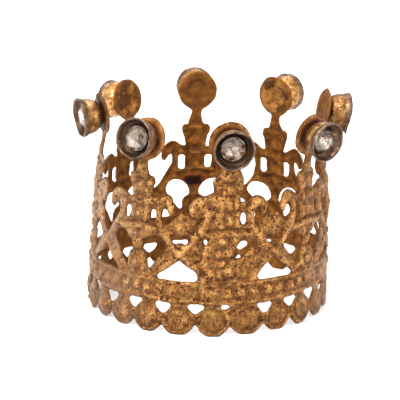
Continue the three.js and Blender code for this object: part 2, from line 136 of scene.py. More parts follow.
FINIAL_PEAKED = [(5.6, 22.4), (6.2, 22.0), (7.0, 22.4), (7.9, 23.2), (8.7, 23.9), (9.35, 24.8), (9.8, 25.8)]
FINIAL_FORKED = [(5.6, 22.4), (6.2, 22.0), (7.1, 22.7), (8.1, 23.8), (8.8, 24.3), (9.3, 23.8), (9.8, 23.4)]
ARCH = [(0.0, 15.3), (0.9, 14.6), (1.9, 13.7), (3.3, 12.8), (4.5, 11.9), (4.6, 11.1), (4.0, 10.9)]
ARCH_LAPPED = [
    (0.0, 15.3), (0.8, 14.5), (1.9, 13.8), (3.1, 13.3), (3.75, 12.6), (3.85, 11.9), (3.5, 11.2),
    (3.0, 10.9),
]
ARCH_BY_LAP = [(0.0, 15.3), (0.9, 14.7), (1.9, 13.9), (3.0, 12.9), (3.65, 12.1), (3.6, 11.5), (3.0, 10.95)]
ARCH_WORN = (66.9, 10.3, 1.9, 1.75)
HEART = [(0.0, 19.8), (0.6, 20.1), (1.6, 20.0), (2.1, 19.4), (1.2, 18.5), (0.4, 18.6)]
KIDNEY = [
    (2.2, 18.6), (3.4, 19.25), (5.2, 19.45), (6.4, 18.8), (6.9, 17.5), (6.4, 16.4), (5.2, 15.2),
    (4.2, 13.8), (3.3, 12.7), (2.6, 12.8), (2.5, 14.2), (2.1, 15.3), (1.15, 16.1), (1.3, 17.4),
]
KIDNEY_FILLED = [
    (2.0, 18.5), (3.1, 19.4), (4.6, 19.5), (5.6, 19.0), (6.3, 17.9), (6.2, 16.9), (5.8, 17.4),
    (5.2, 18.0), (4.6, 17.7), (4.0, 16.9), (3.2, 16.0), (2.0, 15.7), (1.25, 16.2), (1.25, 17.4),
]
TRIANGLE = [(0.0, 6.3), (1.35, 6.35), (1.75, 5.7), (1.1, 4.9), (0.4, 4.2), (0.0, 4.1)]

# The openings of the foot between these two places, at the back right, sit lower
LOW_TRIANGLES = (60, 93)
LOW_TRIANGLE_DROP = 1.2

# The crossing at the back right stands off the middle of its gap, at these levels above and below
LEANING_GAP = 3
GAP_LEAN = 1.4
LEAN_ABOVE = (24, 20)
LEAN_BELOW = (11.5, 14.5)

SLOT_MIDDLE = (3.15, 23.4)
SLOT_HALF = (0.85, 1.6)
SLOT_ROUND = 0.6
FRONT_SLOT_HALF = (0.6, 1.35)
FRONT_POINTS = (0, 1, POINTS - 1)
LAP_SLOT = (3.05, 23.65, 0.68, 1.35)
NOTCH_HEIGHT = 1.9
SCALLOP_DROP = 0.1
GAPS_WITH_FINIALS = {0: FINIAL_FORKED, POINTS - 1: FINIAL_PEAKED}

# The neck of a point ends under its disc, a gap is open to above all metal, and a place with no
# opening near is far from one
POINT_TOP = 38
OVER_EVERYTHING = 60.0
FAR = 1e3

# Widths over which one shape runs softly into another
SOFT_CREASE = 0.3
SOFT_DISC = 0.6

# The pattern pressed into the sheet. Bosses: how far aside, how high, radius and rise
BOSSES = (
    (0, 13.8, 1.3, 0.5), (1.5, 19.3, 1.0, 0.4), (0, 21.0, 1.0, 0.4), (0, 23.6, 1.05, 0.45),
    (0, 17.4, 1.1, 0.4), (0, 29.5, 1.1, 0.4), (2.3, 30.4, 0.8, 0.3), (0, 26.4, 0.9, 0.3),
    (9.8, 21.6, 1.6, 0.2),
)
# Grooves across a body: height, depth, half width, and how they sag towards the sides
GROOVES = (
    (12.1, 0.3, 0.35, 0.05), (15.9, 0.34, 0.4, 0.0), (21.9, 0.34, 0.3, 0.03),
    (25.3, 0.26, 0.35, -0.04), (27.6, 0.24, 0.4, 0.03), (31.0, 0.26, 0.3, 0.06),
)
GROOVE_SIDES = (6.4, 4.4)
# A round groove over the band: height of its middle, radius, half width, depth, and its levels
ROUND_GROOVE = (12.6, 2.3, 0.28, 0.16)
ROUND_GROOVE_LEVELS = (12.4, 13)
PILLOW_WIDTH = 0.45
BODY_LEVELS = (10.6, 11.6)
BAND_BOTTOM = (6.2, 6.8)
BAND_TOP = (11.2, 10.7)
BAND_RISE = 0.12
BAND_RIDGES = ((10.75, 0.36), (6.95, 0.32))
BEAD_LEVEL = 8.9
BEAD_RADIUS = 1.12
ROUNDEL_LEVEL = 3.3
ROUNDEL_TOP = (6.6, 6.1)
DOME_RADIUS = 2.2
# The ring round a dome: radius, half width and rise
DOME_RING = (2.8, 0.28, 0.2)
SOLDER_RIM = (2.7, 2.0)
DOME_FULLNESS = 0.75
# How much the lumps of the sheet change the beads, the domes and the rings
BEADS_UNEVEN, DOMES_UNEVEN, RINGS_UNEVEN = 0.28, 0.15, 0.4

# Raised straps: the stem of a scroll down to the junction, the leg from there to the band, and the
# lines of the body over, under and above its kidneys. Each has its half width and rise
STRAPS = (
    ([(7.5, 24.9), (7.5, 26.1), (6.7, 26.9), (5.6, 26.8), (4.8, 25.6), (4.8, 23.4), (5.6, 21.4),
      (7.2, 19.6), (8.7, 17.9), (9.8, 16.8)], 0.95, 0.42),
    ([(9.8, 16.8), (8.4, 15.2), (6.6, 13.3), (5.3, 11.6)], 0.95, 0.36),
    ([(1.0, 21.0), (2.3, 20.7), (4.0, 20.6), (5.2, 21.2)], 0.6, 0.28),
    ([(0.9, 15.4), (1.7, 14.4), (1.9, 12.9), (1.1, 11.7)], 0.5, 0.3),
    ([(1.2, 29.0), (1.9, 28.0), (1.5, 26.4), (1.7, 24.6), (1.7, 22.2)], 0.55, 0.26),
)

# The lap at the front point, where solder has filled piercings on the left
SEAM_HOLE = (-4.85, 19.0, 0.5, 0.68)
SEAM_OVAL = (-0.3, 6.1, 0.8, 0.52)
FILLED_BEADS = (-7.5, 4.2)
BEADS_LOST = 0.85
LAP_EDGE = -5.3
LAP_EDGE_SOFT = 0.18
LAP_EDGE_UNEVEN = 0.25
# The edge bulges to the left: how far, at what level and over what half height
LAP_BULGE = (1.1, 21.5, 1.4)
LAP_FADE = (-2.0, 4.0)
LAP_TOP = (28.6, 27.8)
LAP_SCROLL = (-6.2, 25.9, 2.1)
LAP_SCROLL_EDGE = (0.1, -0.25)
LAP_STEP = 0.6
# What the lapped end covers: the left, right, lower and upper sides of two patches
LAP_UNDER_SCROLL = (-9.6, -4.5, 20.4, 24.2)
LAP_WAIST = (-5.6, -1.5, 26, 28.9)
LAP_WAIST_SLOPE = (-3.4, 0.35)

# The roundels aren't evenly set out: pairs of an even place round from the front point and how far
# the real one is past it
FOOT_DRIFT = [
    (-13, 0), (7, 1.35), (20, 1.45), (70, 2.15), (84.9, 3.45), (91.5, 3.05), (130, 0),
]

# Unevenness of the sheet: the size of its lumps in mm, and how far they shift what they act on
SWAY_LUMPS = 2.2
SWAY_ROUND, SWAY_UP = 0.13, 0.1
SWAY_FROM_FOOT = (0.5, 3)
SWAY_TO_DISC = (33, 36)
OUTLINE_LUMPS, OUTLINE_SHIFT = 0.7, 0.05
OUTLINE_BLUR = 0.13
RELIEF_LUMPS, RELIEF_SHIFT = 1.3, 0.07
SKIN_LUMPS = 0.33
# The random fields: the seed and the size of the lumps of the two sways, the outline, the relief
# and the skin
SEEDS_AND_LUMPS = (
    (3, SWAY_LUMPS), (4, SWAY_LUMPS), (5, OUTLINE_LUMPS), (6, RELIEF_LUMPS), (7, SKIN_LUMPS),
)
HOLLOW_REACH = 0.75
OVER_FLOOR = 0.002
# Which of the fields kept for a place is its depth in the metal
DEPTH_FIELD = 3
# The outline crosses a line of the grid between these shares of it, so that no face is a sliver
CROSSING_SHARES = (0.1, 0.9)

# The edges of the metal: how far they are rounded back, from how far in, and how far they swell
EDGE_ROUNDING, EDGE_WIDTH = 0.2, 0.3
EDGE_SWELL = 0.07
# The share of the lap's step that is seen behind
LAP_BEHIND = 0.35

# The discs with a finish of their own: gilding kept under dark stains on the inner side, one that
# is plain brown there, and those rubbed to orange beside their cups, the orange partly a painted
# highlight on their rims. Distances from the middle of a disc say where this and the dark round the
# cup, blackening with a painted shadow of the cup, end and where they are full
BRIGHT_DISCS = (3, 5)
BROWN_DISC = 4
ORANGE_HIGHLIGHT_DISCS = (0, 1, POINTS - 1)
DISC_FINISH = (4.05, 3.1)
DISC_SOOT_AND_SHADOW = (3.95, 2.95)


def crown_sizes():
    return bpy.context.scene.crown_sizes


def finishes():
    return bpy.context.scene.crown_finish


def length(name, description, millimetres):
    return bpy.props.FloatProperty(
        name=name, description=description, default=millimetres * MM, precision=5,
        subtype="DISTANCE", unit="LENGTH")


def colour(name, description, value):
    return bpy.props.FloatVectorProperty(
        name=name, description=description, default=value, size=3, min=0, max=1, subtype="COLOR")


class CrownSizes(bpy.types.PropertyGroup):
    foot_radius: length("Foot radius", "Outside radius of the wall at the foot", 25)
    disc_ring_radius: length("Ring of discs", "Radius of the ring that the discs stand on", 23)
    strip_thickness: length("Sheet", "Thickness of the brass sheet", 0.6)
    disc_radius: length("Disc radius", "Radius of the disc at the tip of each point", 4.2)
    pillow: length("Pillow", "How far the arms and bodies are pressed out", 0.34)
    bead_relief: length("Beads", "How far the beads on the band stand out", 0.45)
    roundel_relief: length("Roundels", "How far the domes at the foot stand out", 0.5)
    ridge_relief: length("Ridges", "How far the two ridges of the band stand out", 0.24)
    pitting: length("Pitting", "Depth of the rough skin of the brass", 0.045)
    cup_gap: length("Solder gap", "From the disc's face to the cup's base", 0.35)
    cup_rim_radius: length("Cup rim", "Outside radius of a cup's rim", 4.1)
    cup_depth: length("Cup depth", "From a cup's base to its rim", 4.4)
    stone_radius: length("Stone radius", "Radius of a stone's girdle", 2.5)
    stone_height: length("Stone height", "From a stone's back to its table", 2.1)


class CrownFinish(bpy.types.PropertyGroup):
    brass_light: colour("Light gilding", "Where the gilding is rubbed bright", (0.365, 0.168, 0.047))
    brass_rubbed: colour("Rubbed grains", "The brightest grains", (0.6, 0.34, 0.12))
    brass_mid: colour("Gilding", "The aged gilding over most of the crown", (0.19, 0.075, 0.0165))
    brass_low: colour("Brown gilding", "Browner gilding beside the hollows", (0.105, 0.037, 0.0085))
    brass_dark: colour("Patina", "Dark patina in the hollows", (0.055, 0.018, 0.004))
    brass_inside: colour("Inside", "The browner gilding inside the wall", (0.2, 0.07, 0.008))
    inside_light: colour("Bright inside", "Where the inside is still bright", (0.34, 0.145, 0.025))
    disc_bright: colour("Kept gilding", "Bright gilding inside two discs", (0.4, 0.185, 0.045))
    # Orange gilding that also stands in for a painted highlight on the rims of the front discs
    disc_orange_and_highlight: colour("Orange disc", "Orange gilding beside the front cups", (0.55, 0.19, 0.038))
    disc_brown: colour("Brown disc", "The plain brown inside of the back disc", (0.11, 0.036, 0.006))
    # Blackening with a painted shadow of the cup, round the solder between a disc and its cup
    soot_and_cup_shadow: colour("Soot", "Round the solder between a disc and its cup", (0.035, 0.011, 0.003))
    # A painted sheen at the two sides, over brass partly bare of gilding, paler high on the left
    side_sheen_and_wear: colour("Bare sides", "Greyer brass at the two sides", (0.235, 0.146, 0.094))
    left_sheen_and_wear: colour("Bare left side", "Paler bare brass high on the left", (0.33, 0.245, 0.19))
    verdigris: colour("Dull patches", "Dull olive patches of old varnish", (0.17, 0.105, 0.025))
    residue: colour("Residue", "The dark red spot inside the back point", (0.016, 0.003, 0.001))
    residue_halo: colour("Halo", "The orange stain round the residue", (0.2, 0.04, 0.006))
    cup_bright: colour("Bright cup", "Where a cup's gilding is still bright", (0.72, 0.42, 0.17))
    tin_light: colour("Tin", "The worn tinning on the cup rims", (0.19, 0.112, 0.068))
    # Tarnished tin round a stone, also painted darker as shade inside the cup
    tin_well: colour("Well", "Tarnished tin round a stone", (0.058, 0.033, 0.019))
    tin_dark: colour("Dark tin", "Tarnish in the hollows of the cups", (0.03, 0.016, 0.01))
    glass_clear: colour("Glass", "A stone where it is clear", (0.96, 0.96, 0.95))
    glass_yellowed: colour("Yellowed glass", "A stone where it is hazy", (0.86, 0.82, 0.76))
    foil_white: colour("White foil", "The brightest crinkles of the foil", (1, 0.96, 0.91))
    foil_silver: colour("Foil", "The bright foil behind a stone", (0.74, 0.64, 0.54))
    foil_grey: colour("Dull foil", "Foil that has gone dull", (0.34, 0.255, 0.195))
    foil_dark: colour("Lost foil", "Where the foil is gone", (0.04, 0.018, 0.008))
    foil_amber: colour("Stained foil", "Foil that has gone amber", (0.3, 0.13, 0.045))
    floor: colour("Floor", "The plain pale floor", (0.92, 0.92, 0.92))


def smooth_step(low, high, value):
    share = np.clip((value - low) / (high - low), 0, 1)
    return share * share * (3 - 2 * share)


def soft_larger(one, other, width):
    """The larger of two fields, with the crease between them rounded off."""
    blend = np.clip(0.5 + 0.5 * (one - other) / width, 0, 1)
    return other * (1 - blend) + one * blend + width * blend * (1 - blend)


def curved(points, steps=3):
    """An open curve drawn smoothly through its points."""
    pts = np.array(points, float)
    padded = np.vstack([2 * pts[0] - pts[1], pts, 2 * pts[-1] - pts[-2]])
    line = []
    for a, b, c, d in zip(padded, padded[1:], padded[2:], padded[3:]):
        for step in range(steps):
            t = step / steps
            line.append(
                0.5 * (2 * b + (c - a) * t + (2 * a - 5 * b + 4 * c - d) * t ** 2
                       + (3 * b - a - 3 * c + d) * t ** 3))
    return line + [pts[-1]]


def both_halves(half):
    """A whole outline from the half to the right of its middle."""
    return half + [np.array([-p[0], p[1]]) for p in reversed(half)]


def outline_distance(outline, x, z):
    """Distance from each place to a closed outline, less than nought inside it."""
    nearest = np.full(x.shape, math.inf)
    within = np.zeros(x.shape, bool)
    for (ax, az), (bx, bz) in zip(outline, outline[1:] + outline[:1]):
        run, rise = bx - ax, bz - az
        size = run * run + rise * rise
        if size == 0:
            continue
        share = np.clip(((x - ax) * run + (z - az) * rise) / size, 0, 1)
        nearest = np.minimum(nearest, np.hypot(x - ax - share * run, z - az - share * rise))
        if rise != 0:
            crossed = (az > z) != (bz > z)
            within ^= crossed & (x < ax + (z - az) * run / rise)
    return np.where(within, -nearest, nearest)


def line_distance(line, x, z):
    """Distance from each place to an open line."""
    return np.abs(outline_distance(line + line[-2:0:-1], x, z))


def oval_distance(oval, x, z):
    """About the distance to an oval given by its middle and its half width and height."""
    middle_x, middle_z, half_width, half_height = oval
    scaled = np.hypot((x - middle_x) / half_width, (z - middle_z) / half_height)
    return (scaled - 1) * min(half_width, half_height)


def patch_depth(patch, x, z, raised=0):
    """How far each place lies inside an upright patch whose upper side may be raised."""
    left, right, low, high = patch
    return np.minimum(np.minimum(x - left, right - x), np.minimum(z - low, high - z + raised))


def blurred(field, size, step):
    """A field smoothed over so many mm; it is periodic round the crown."""
    around = np.fft.fftfreq(field.shape[0], step)[:, None]
    upward = np.fft.fftfreq(2 * field.shape[1], step)[None, :]
    mirrored_up = np.concatenate([field, field[:, ::-1]], axis=1)
    filtered = np.exp(-2 * (math.pi * size) ** 2 * (around ** 2 + upward ** 2))
    return np.real(np.fft.ifft2(np.fft.fft2(mirrored_up) * filtered))[:, : field.shape[1]]


def roughness_field(shape, seed, size, step):
    """Even random unevenness with lumps of so many mm, about nought and about one high."""
    field = blurred(np.random.RandomState(seed).standard_normal(shape), size, step)
    return (field - field.mean()) / field.std()


def foot_drift(x):
    """How far the notches and roundels at each place stand past their even places."""
    turn = np.mod(x + REPEAT, GIRTH) - REPEAT
    places, amounts = zip(*FOOT_DRIFT)
    real = np.array(places) + np.array(amounts)
    return np.interp(turn, real, amounts)


def disc_distance(x, z):
    """Distance of each place from the middle of its own point's disc."""
    taper = crown_sizes().disc_ring_radius / crown_sizes().foot_radius
    near = x - np.round(x / REPEAT) * REPEAT
    return np.hypot(near * taper, z - DRAWN_HEIGHT)


def sky_field(gap, across, z):
    """Between the points: the necks, scrolls and stems on either side of each gap."""
    across = across + GAP_LEAN * (gap == LEANING_GAP) * smooth_step(*LEAN_ABOVE, z)
    metal = np.full(z.shape, FAR)
    for index in range(POINTS):
        lower = GAPS_WITH_FINIALS.get(index, STEM_TO_JUNCTION)
        necks = NECKS_BESIDE_GAPS.get(index, (NECK, NECK))
        scrolls = SCROLLS_BESIDE_GAPS.get(index, (WAIST_AND_SCROLL, WAIST_AND_SCROLL))
        left, right = (
            curved([(px - HALF_REPEAT, pz) for px, pz in neck + scroll + lower])
            for neck, scroll in zip(necks, scrolls))
        left, right = ([np.array([half[0][0], OVER_EVERYTHING]), *half] for half in (left, right))
        whole = left + [np.array([-p[0], p[1]]) for p in reversed(right)]
        chosen = gap == index
        metal[chosen] = outline_distance(whole, across[chosen], z[chosen])
    return np.minimum(metal, POINT_TOP - z)


def arch_field(gap, across, z, seam, lapped):
    """The arch under each crossing, and the heart over it where the gap has a finial."""
    leaning = across + GAP_LEAN * (gap == LEANING_GAP) * smooth_step(*LEAN_BELOW, z)
    arch = outline_distance(both_halves(curved(ARCH)), leaning, z)
    lapped_arch = outline_distance(both_halves(curved(ARCH_LAPPED)), across, z)
    arch_by_lap = outline_distance(both_halves(curved(ARCH_BY_LAP)), across, z)
    arch = np.where(lapped, lapped_arch, np.where(seam, arch_by_lap, arch))
    heart = outline_distance(both_halves(curved(HEART)), across, z)
    return np.minimum(arch, np.where(np.isin(gap, list(GAPS_WITH_FINIALS)), heart, FAR))


def body_field(point, near, z, seam, lapped):
    """The kidneys and slots in the body of each point."""
    side = np.abs(near)
    kidney = outline_distance(curved(KIDNEY + KIDNEY[:1])[:-1], side, z)
    filled = outline_distance(curved(KIDNEY_FILLED + KIDNEY_FILLED[:1])[:-1], side, z)
    kidney = np.where(seam, filled, kidney)
    kidney = np.where(lapped, oval_distance(SEAM_HOLE, near, z), kidney)
    at_front = np.isin(point, FRONT_POINTS)
    half_width, half_height = (np.where(at_front, *pair) for pair in zip(FRONT_SLOT_HALF, SLOT_HALF))
    slot_x = np.abs(side - SLOT_MIDDLE[0]) - half_width + SLOT_ROUND
    slot_z = np.abs(z - SLOT_MIDDLE[1]) - half_height + SLOT_ROUND
    slot = np.hypot(np.maximum(slot_x, 0), np.maximum(slot_z, 0)) - SLOT_ROUND
    slot = np.where(lapped, FAR, np.where(seam, oval_distance(LAP_SLOT, near, z), slot))
    return np.minimum(kidney, slot)


def lap_cover(near, z):
    """What the lapped end covers: the left scroll of the front point, the gap under it and the waist."""
    scroll_x, scroll_z, scroll_radius = LAP_SCROLL
    scroll = scroll_radius - np.hypot(near - scroll_x, z - scroll_z)
    slope_from, slope = LAP_WAIST_SLOPE
    under = patch_depth(LAP_UNDER_SCROLL, near, z)
    waist = patch_depth(LAP_WAIST, near, z, (near - slope_from) * slope)
    return np.maximum(np.maximum(scroll, under), waist)


def foot_field(x, near, z):
    """The openings between the roundels, and the scalloped lower edge."""
    drifted = x - foot_drift(x)
    valley = np.round(drifted / ROUNDEL_PITCH)
    middle = valley * ROUNDEL_PITCH
    from_valley = np.abs(drifted - middle)
    low = (middle > LOW_TRIANGLES[0]) & (middle < LOW_TRIANGLES[1])
    triangle = outline_distance(both_halves(curved(TRIANGLE)), from_valley, z + LOW_TRIANGLE_DROP * low)
    seam_valley = np.mod(valley, ROUNDELS) == 0
    triangle = np.where(seam_valley, oval_distance(SEAM_OVAL, near, z), triangle)
    radius = ROUNDEL_PITCH / 2
    scallop = radius - np.hypot(radius - from_valley, z - radius + SCALLOP_DROP)
    return np.minimum(triangle, soft_larger(scallop, z - NOTCH_HEIGHT, SOFT_CREASE))


def open_field(x, z):
    """How far each place of the drawing lies inside the metal, less than nought in an opening."""
    turns = np.round(x / REPEAT)
    near = x - turns * REPEAT
    point = np.mod(turns, POINTS)
    seam = point == 0
    lapped = seam & (near < 0)
    gaps = np.floor(x / REPEAT)
    across = x - (gaps + 0.5) * REPEAT
    gap = np.mod(gaps, POINTS)
    metal = np.minimum(sky_field(gap, across, z), arch_field(gap, across, z, seam, lapped))
    metal = np.minimum(metal, oval_distance(ARCH_WORN, x, z))
    metal = np.minimum(metal, body_field(point, near, z, seam, lapped))
    metal = np.where(lapped, soft_larger(metal, lap_cover(near, z), SOFT_CREASE), metal)
    metal = np.minimum(metal, foot_field(x, near, z))
    disc = crown_sizes().disc_radius / MM - disc_distance(x, z)
    return soft_larger(metal, disc, SOFT_DISC)


def dome(distance, radius):
    """A round boss: one at its middle, nought at its rim."""
    return np.clip(1 - (distance / radius) ** 2, 0, 1) ** DOME_FULLNESS


def ridge(value, middle, half_width):
    """One at the middle, falling off to either side."""
    return np.exp(-((value - middle) / half_width) ** 2)


def pressed_relief(x, z, metal, lumps):
    """How far the sheet is pressed out at each place, in mm."""
    sizes = crown_sizes()
    pillow = sizes.pillow / MM
    near = x - np.round(x / REPEAT) * REPEAT
    side = np.abs(near)
    above_band = smooth_step(*BODY_LEVELS, z)
    below_disc = 1 - smooth_step(*DISC_CALM, z)
    height = pillow * (1 - np.exp(-np.maximum(metal, 0) / PILLOW_WIDTH)) * above_band * below_disc

    # Bosses, straps and grooves of the body, from the foot of a point up to its neck
    for boss_x, boss_z, radius, rise in BOSSES:
        height = height + rise * dome(np.hypot(side - boss_x, z - boss_z), radius)
    for line, half_width, rise in STRAPS:
        height = height + rise * dome(line_distance(curved(line), side, z), half_width) * above_band
    body = smooth_step(*GROOVE_SIDES, side) * above_band
    for groove_z, depth, half_width, sag in GROOVES:
        height = height - depth * ridge(z + sag * side ** 2, groove_z, half_width) * body
    groove_z, radius, half_width, depth = ROUND_GROOVE
    round_groove = ridge(np.hypot(near, z - groove_z), radius, half_width)
    height = height - depth * round_groove * smooth_step(*ROUND_GROOVE_LEVELS, z)

    # The band with its two ridges and its row of beads
    in_band = smooth_step(*BAND_BOTTOM, z) * smooth_step(*BAND_TOP, z)
    upper_ridge, lower_ridge = (ridge(z, *place) for place in BAND_RIDGES)
    band = BAND_RISE + sizes.ridge_relief / MM * (upper_ridge + lower_ridge)
    from_bead = np.abs(x / BEAD_PITCH - np.round(x / BEAD_PITCH)) * BEAD_PITCH
    filled = ridge(x - GIRTH * np.round(x / GIRTH), *FILLED_BEADS)
    beads = sizes.bead_relief / MM * dome(np.hypot(from_bead, z - BEAD_LEVEL), BEAD_RADIUS)
    beads = beads * (1 - BEADS_LOST * filled) * (1 + BEADS_UNEVEN * lumps)
    height = height + (band + beads) * in_band

    # The roundels: a dome in a ring
    drifted = x - foot_drift(x)
    middle = (np.floor(drifted / ROUNDEL_PITCH) + 0.5) * ROUNDEL_PITCH
    from_roundel = np.hypot(drifted - middle, z - ROUNDEL_LEVEL)
    ring_radius, ring_width, ring_rise = DOME_RING
    height = height + smooth_step(*ROUNDEL_TOP, z) * (
        sizes.roundel_relief / MM * dome(from_roundel, DOME_RADIUS) * (1 + DOMES_UNEVEN * lumps)
        + ring_rise * ridge(from_roundel, ring_radius, ring_width) * (1 + RINGS_UNEVEN * lumps))

    # Solder that stands up between each disc and its cup
    height = height + sizes.cup_gap / MM * smooth_step(*SOLDER_RIM, disc_distance(x, z))
    return height + RELIEF_SHIFT * lumps * below_disc


def lap_step(x, z, lumps):
    """The lapped end of the strip stands proud at the left of the front point and fades out."""
    turn = np.mod(x + GIRTH / 2, GIRTH) - GIRTH / 2
    bulge, bulge_z, bulge_height = LAP_BULGE
    edge = LAP_EDGE + LAP_EDGE_UNEVEN * lumps - bulge * ridge(z, bulge_z, bulge_height)
    straight = smooth_step(edge - LAP_EDGE_SOFT, edge + LAP_EDGE_SOFT, turn) * smooth_step(*LAP_TOP, z)
    scroll_x, scroll_z, scroll_radius = LAP_SCROLL
    from_rim = np.hypot(turn - scroll_x, z - scroll_z) - scroll_radius
    round_end = smooth_step(*LAP_SCROLL_EDGE, from_rim)
    fade = 1 - smooth_step(*LAP_FADE, turn)
    return LAP_STEP * np.maximum(straight, round_end) * fade


def wall_place(x, z, depth):
    """From the flat drawing to the ring, in mm."""
    sizes = crown_sizes()
    foot, discs = sizes.foot_radius / MM, sizes.disc_ring_radius / MM
    angle = x / REPEAT * 2 * math.pi / POINTS
    middle, reach, push = PUSHED_SCROLL
    pushed = push * smooth_step(reach, 0.0, np.abs(x - middle)) * smooth_step(*PUSHED_LEVELS, z)
    radius = foot - (foot - discs) * z / DRAWN_HEIGHT + depth + pushed
    return np.stack([radius * np.sin(angle), -radius * np.cos(angle), z], axis=-1)


def bent_place(place, point):
    """Hand bending of the points above their scrolls, and the lean of the whole crown."""
    sizes = crown_sizes()
    slope = (sizes.foot_radius - sizes.disc_ring_radius) / MM / DRAWN_HEIGHT
    reach = DRAWN_HEIGHT - BEND_START
    bends = np.array(POINT_BENDS, float)[np.mod(point, POINTS).astype(int)]
    lean, sway, rise, tilt = (bends[..., i] for i in range(4))
    angle = np.mod(point, POINTS) * 2 * math.pi / POINTS
    share = np.maximum(0, (place[..., 2] - BEND_START) / reach)
    cubic = (slope - np.tan(np.radians(tilt))) * reach - 2 * lean
    out = (lean - cubic) * share ** 2 + cubic * share ** 3
    side = sway * share ** 2
    return np.stack([
        place[..., 0] + out * np.sin(angle) + side * np.cos(angle)
        + CROWN_LEAN * place[..., 2] / DRAWN_HEIGHT,
        place[..., 1] - out * np.cos(angle) + side * np.sin(angle),
        place[..., 2] + rise * share ** 2,
    ], axis=-1)


def disc_matrix(point):
    """The place of a point's disc, in metres: its own +Z looks out along the cup's axis."""
    tilt, turn = POINT_BENDS[point][3:]
    angle = math.radians(turn) + point * 2 * math.pi / POINTS
    flat = wall_place(np.array(point * REPEAT), np.array(DRAWN_HEIGHT), np.array(0.0))
    place = bent_place(flat, np.array(float(point)))
    turned = Matrix.Rotation(angle, 4, "Z") @ Matrix.Rotation(math.radians(90 - tilt), 4, "X")
    return Matrix.Translation(Vector(place) * MM) @ turned


def crown_shift():
    """The CAD model is centred on its own box: how far, measured at the middles of its cups."""
    sizes = crown_sizes()
    along = sizes.cup_gap + sizes.cup_depth / 2
    shifts = []
    for point in range(POINTS):
        low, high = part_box(f"stone_cup_{point + 1}")
        shifts.append((low + high) / 2 - disc_matrix(point) @ Vector((0, 0, along)))
    mean = sum(shifts, Vector()) / POINTS
    return Vector((mean.x, mean.y, 0))


def set_in_frame(points, x, z, depth):
    """Flat places of the strip to places in the frame, in metres."""
    sizes = crown_sizes()
    place = bent_place(wall_place(x, z, depth), points)
    near = x - points * REPEAT
    weight = smooth_step(*DISC_FRAME, z)[:, None]
    taper = sizes.disc_ring_radius / sizes.foot_radius
    on_disc = np.stack([near * taper, z - DRAWN_HEIGHT, depth, np.full(x.shape, 1 / MM)], axis=-1)
    matrices = np.array([np.array(disc_matrix(k)) for k in range(POINTS)])
    chosen = matrices[np.mod(points, POINTS).astype(int)]
    target = np.einsum("nij,nj->ni", chosen, on_disc)[:, :3]
    shift = np.array(crown_shift())
    return (place * (1 - weight) + target * weight) * MM + shift


def strip_fields():
    """The metal on an even grid, and for each place its x, z, height, depth in the metal, lap,
    hollow and pitting."""
    columns = round(GIRTH / GRID_STEP)
    step = GIRTH / columns
    rows = round(DRAWN_TOP / step) + 2
    x = (np.arange(columns) * step)[:, None] * np.ones((1, rows))
    z = ((np.arange(rows) - 1) * step)[None, :] * np.ones((columns, 1))
    sway_x, sway_z, uneven, lumps, skin = (
        roughness_field(x.shape, seed, size, step) for seed, size in SEEDS_AND_LUMPS)
    calm = 1 - smooth_step(*SWAY_TO_DISC, z)
    warped_x = x + SWAY_ROUND * sway_x * calm
    warped_z = z + SWAY_UP * sway_z * calm * smooth_step(*SWAY_FROM_FOOT, z)
    metal = blurred(open_field(warped_x, warped_z), OUTLINE_BLUR, step) + OUTLINE_SHIFT * uneven
    metal = np.minimum(metal, z - OVER_FLOOR)
    lap = lap_step(warped_x, warped_z, uneven)
    height = pressed_relief(warped_x, warped_z, metal, lumps) + lap
    # How far each place lies below its surroundings: the material paints it darker, as patina and as
    # painted shade in grooves and at the lap's step, and what stands out lighter
    hollow = blurred(height, HOLLOW_REACH, step) - height
    pitting = crown_sizes().pitting / MM * skin
    return metal, np.stack([x, z, height, np.maximum(metal, 0), lap, hollow, pitting], axis=-1)


def numbered(mask, first):
    """A number for each place in a mask, counted from the first, and -1 elsewhere."""
    numbers = np.full(mask.shape, -1)
    numbers[mask] = first + np.arange(mask.sum())
    return numbers


def strip_corners(metal, fields):
    """Numbers the grid's places in the metal and its crossings with the outline, to the right and
    upwards, and lists their fields in that order."""
    inside = metal > 0
    corner = numbered(inside, 0)
    crossings = []
    entries = [fields[inside]]
    for axis in (0, 1):
        there_metal, there = np.roll(metal, -1, axis), np.roll(fields, -1, axis)
        crossing = inside != (there_metal > 0)
        if axis == 0:
            there[-1, :, 0] += GIRTH
        else:
            crossing[:, -1] = False
        share = np.clip(metal / np.where(crossing, metal - there_metal, 1), *CROSSING_SHARES)
        share = share[..., None]
        mixed = fields * (1 - share) + there * share
        mixed[..., DEPTH_FIELD] = 0
        crossings.append(numbered(crossing, sum(len(entry) for entry in entries)))
        entries.append(mixed[crossing])
    return inside, corner, *crossings, np.concatenate(entries)


def strip_faces(inside, corner, right, up):
    """Whole squares of the grid and the cut ones along the outline, and the outline's own pieces."""
    next_column = np.roll(np.arange(len(inside)), -1)

    # How many of the four corners of each square lie in the metal
    within = (inside[:, :-1] * 1 + inside[next_column, :-1]
              + inside[next_column, 1:] + inside[:, 1:])
    full_i, full_j = np.nonzero(within == 4)
    full_next = next_column[full_i]
    faces = np.stack([
        corner[full_i, full_j], corner[full_next, full_j],
        corner[full_next, full_j + 1], corner[full_i, full_j + 1]], axis=-1).tolist()
    rims = []
    for i, j in zip(*np.nonzero((within != 4) & (within != 0))):
        n = next_column[i]
        corners = (corner[i, j], corner[n, j], corner[n, j + 1], corner[i, j + 1])
        edges = (right[i, j], up[n, j], right[i, j + 1], up[i, j])
        walk = []
        for spot, edge in zip(corners, edges):
            if spot >= 0:
                walk.append((int(spot), False))
            if edge >= 0:
                walk.append((int(edge), True))
        faces.append([number for number, _ in walk])
        for (a, a_edge), (b, b_edge) in zip(walk, walk[1:] + walk[:1]):
            if a_edge and b_edge:
                rims.append((a, b))
    return faces, rims


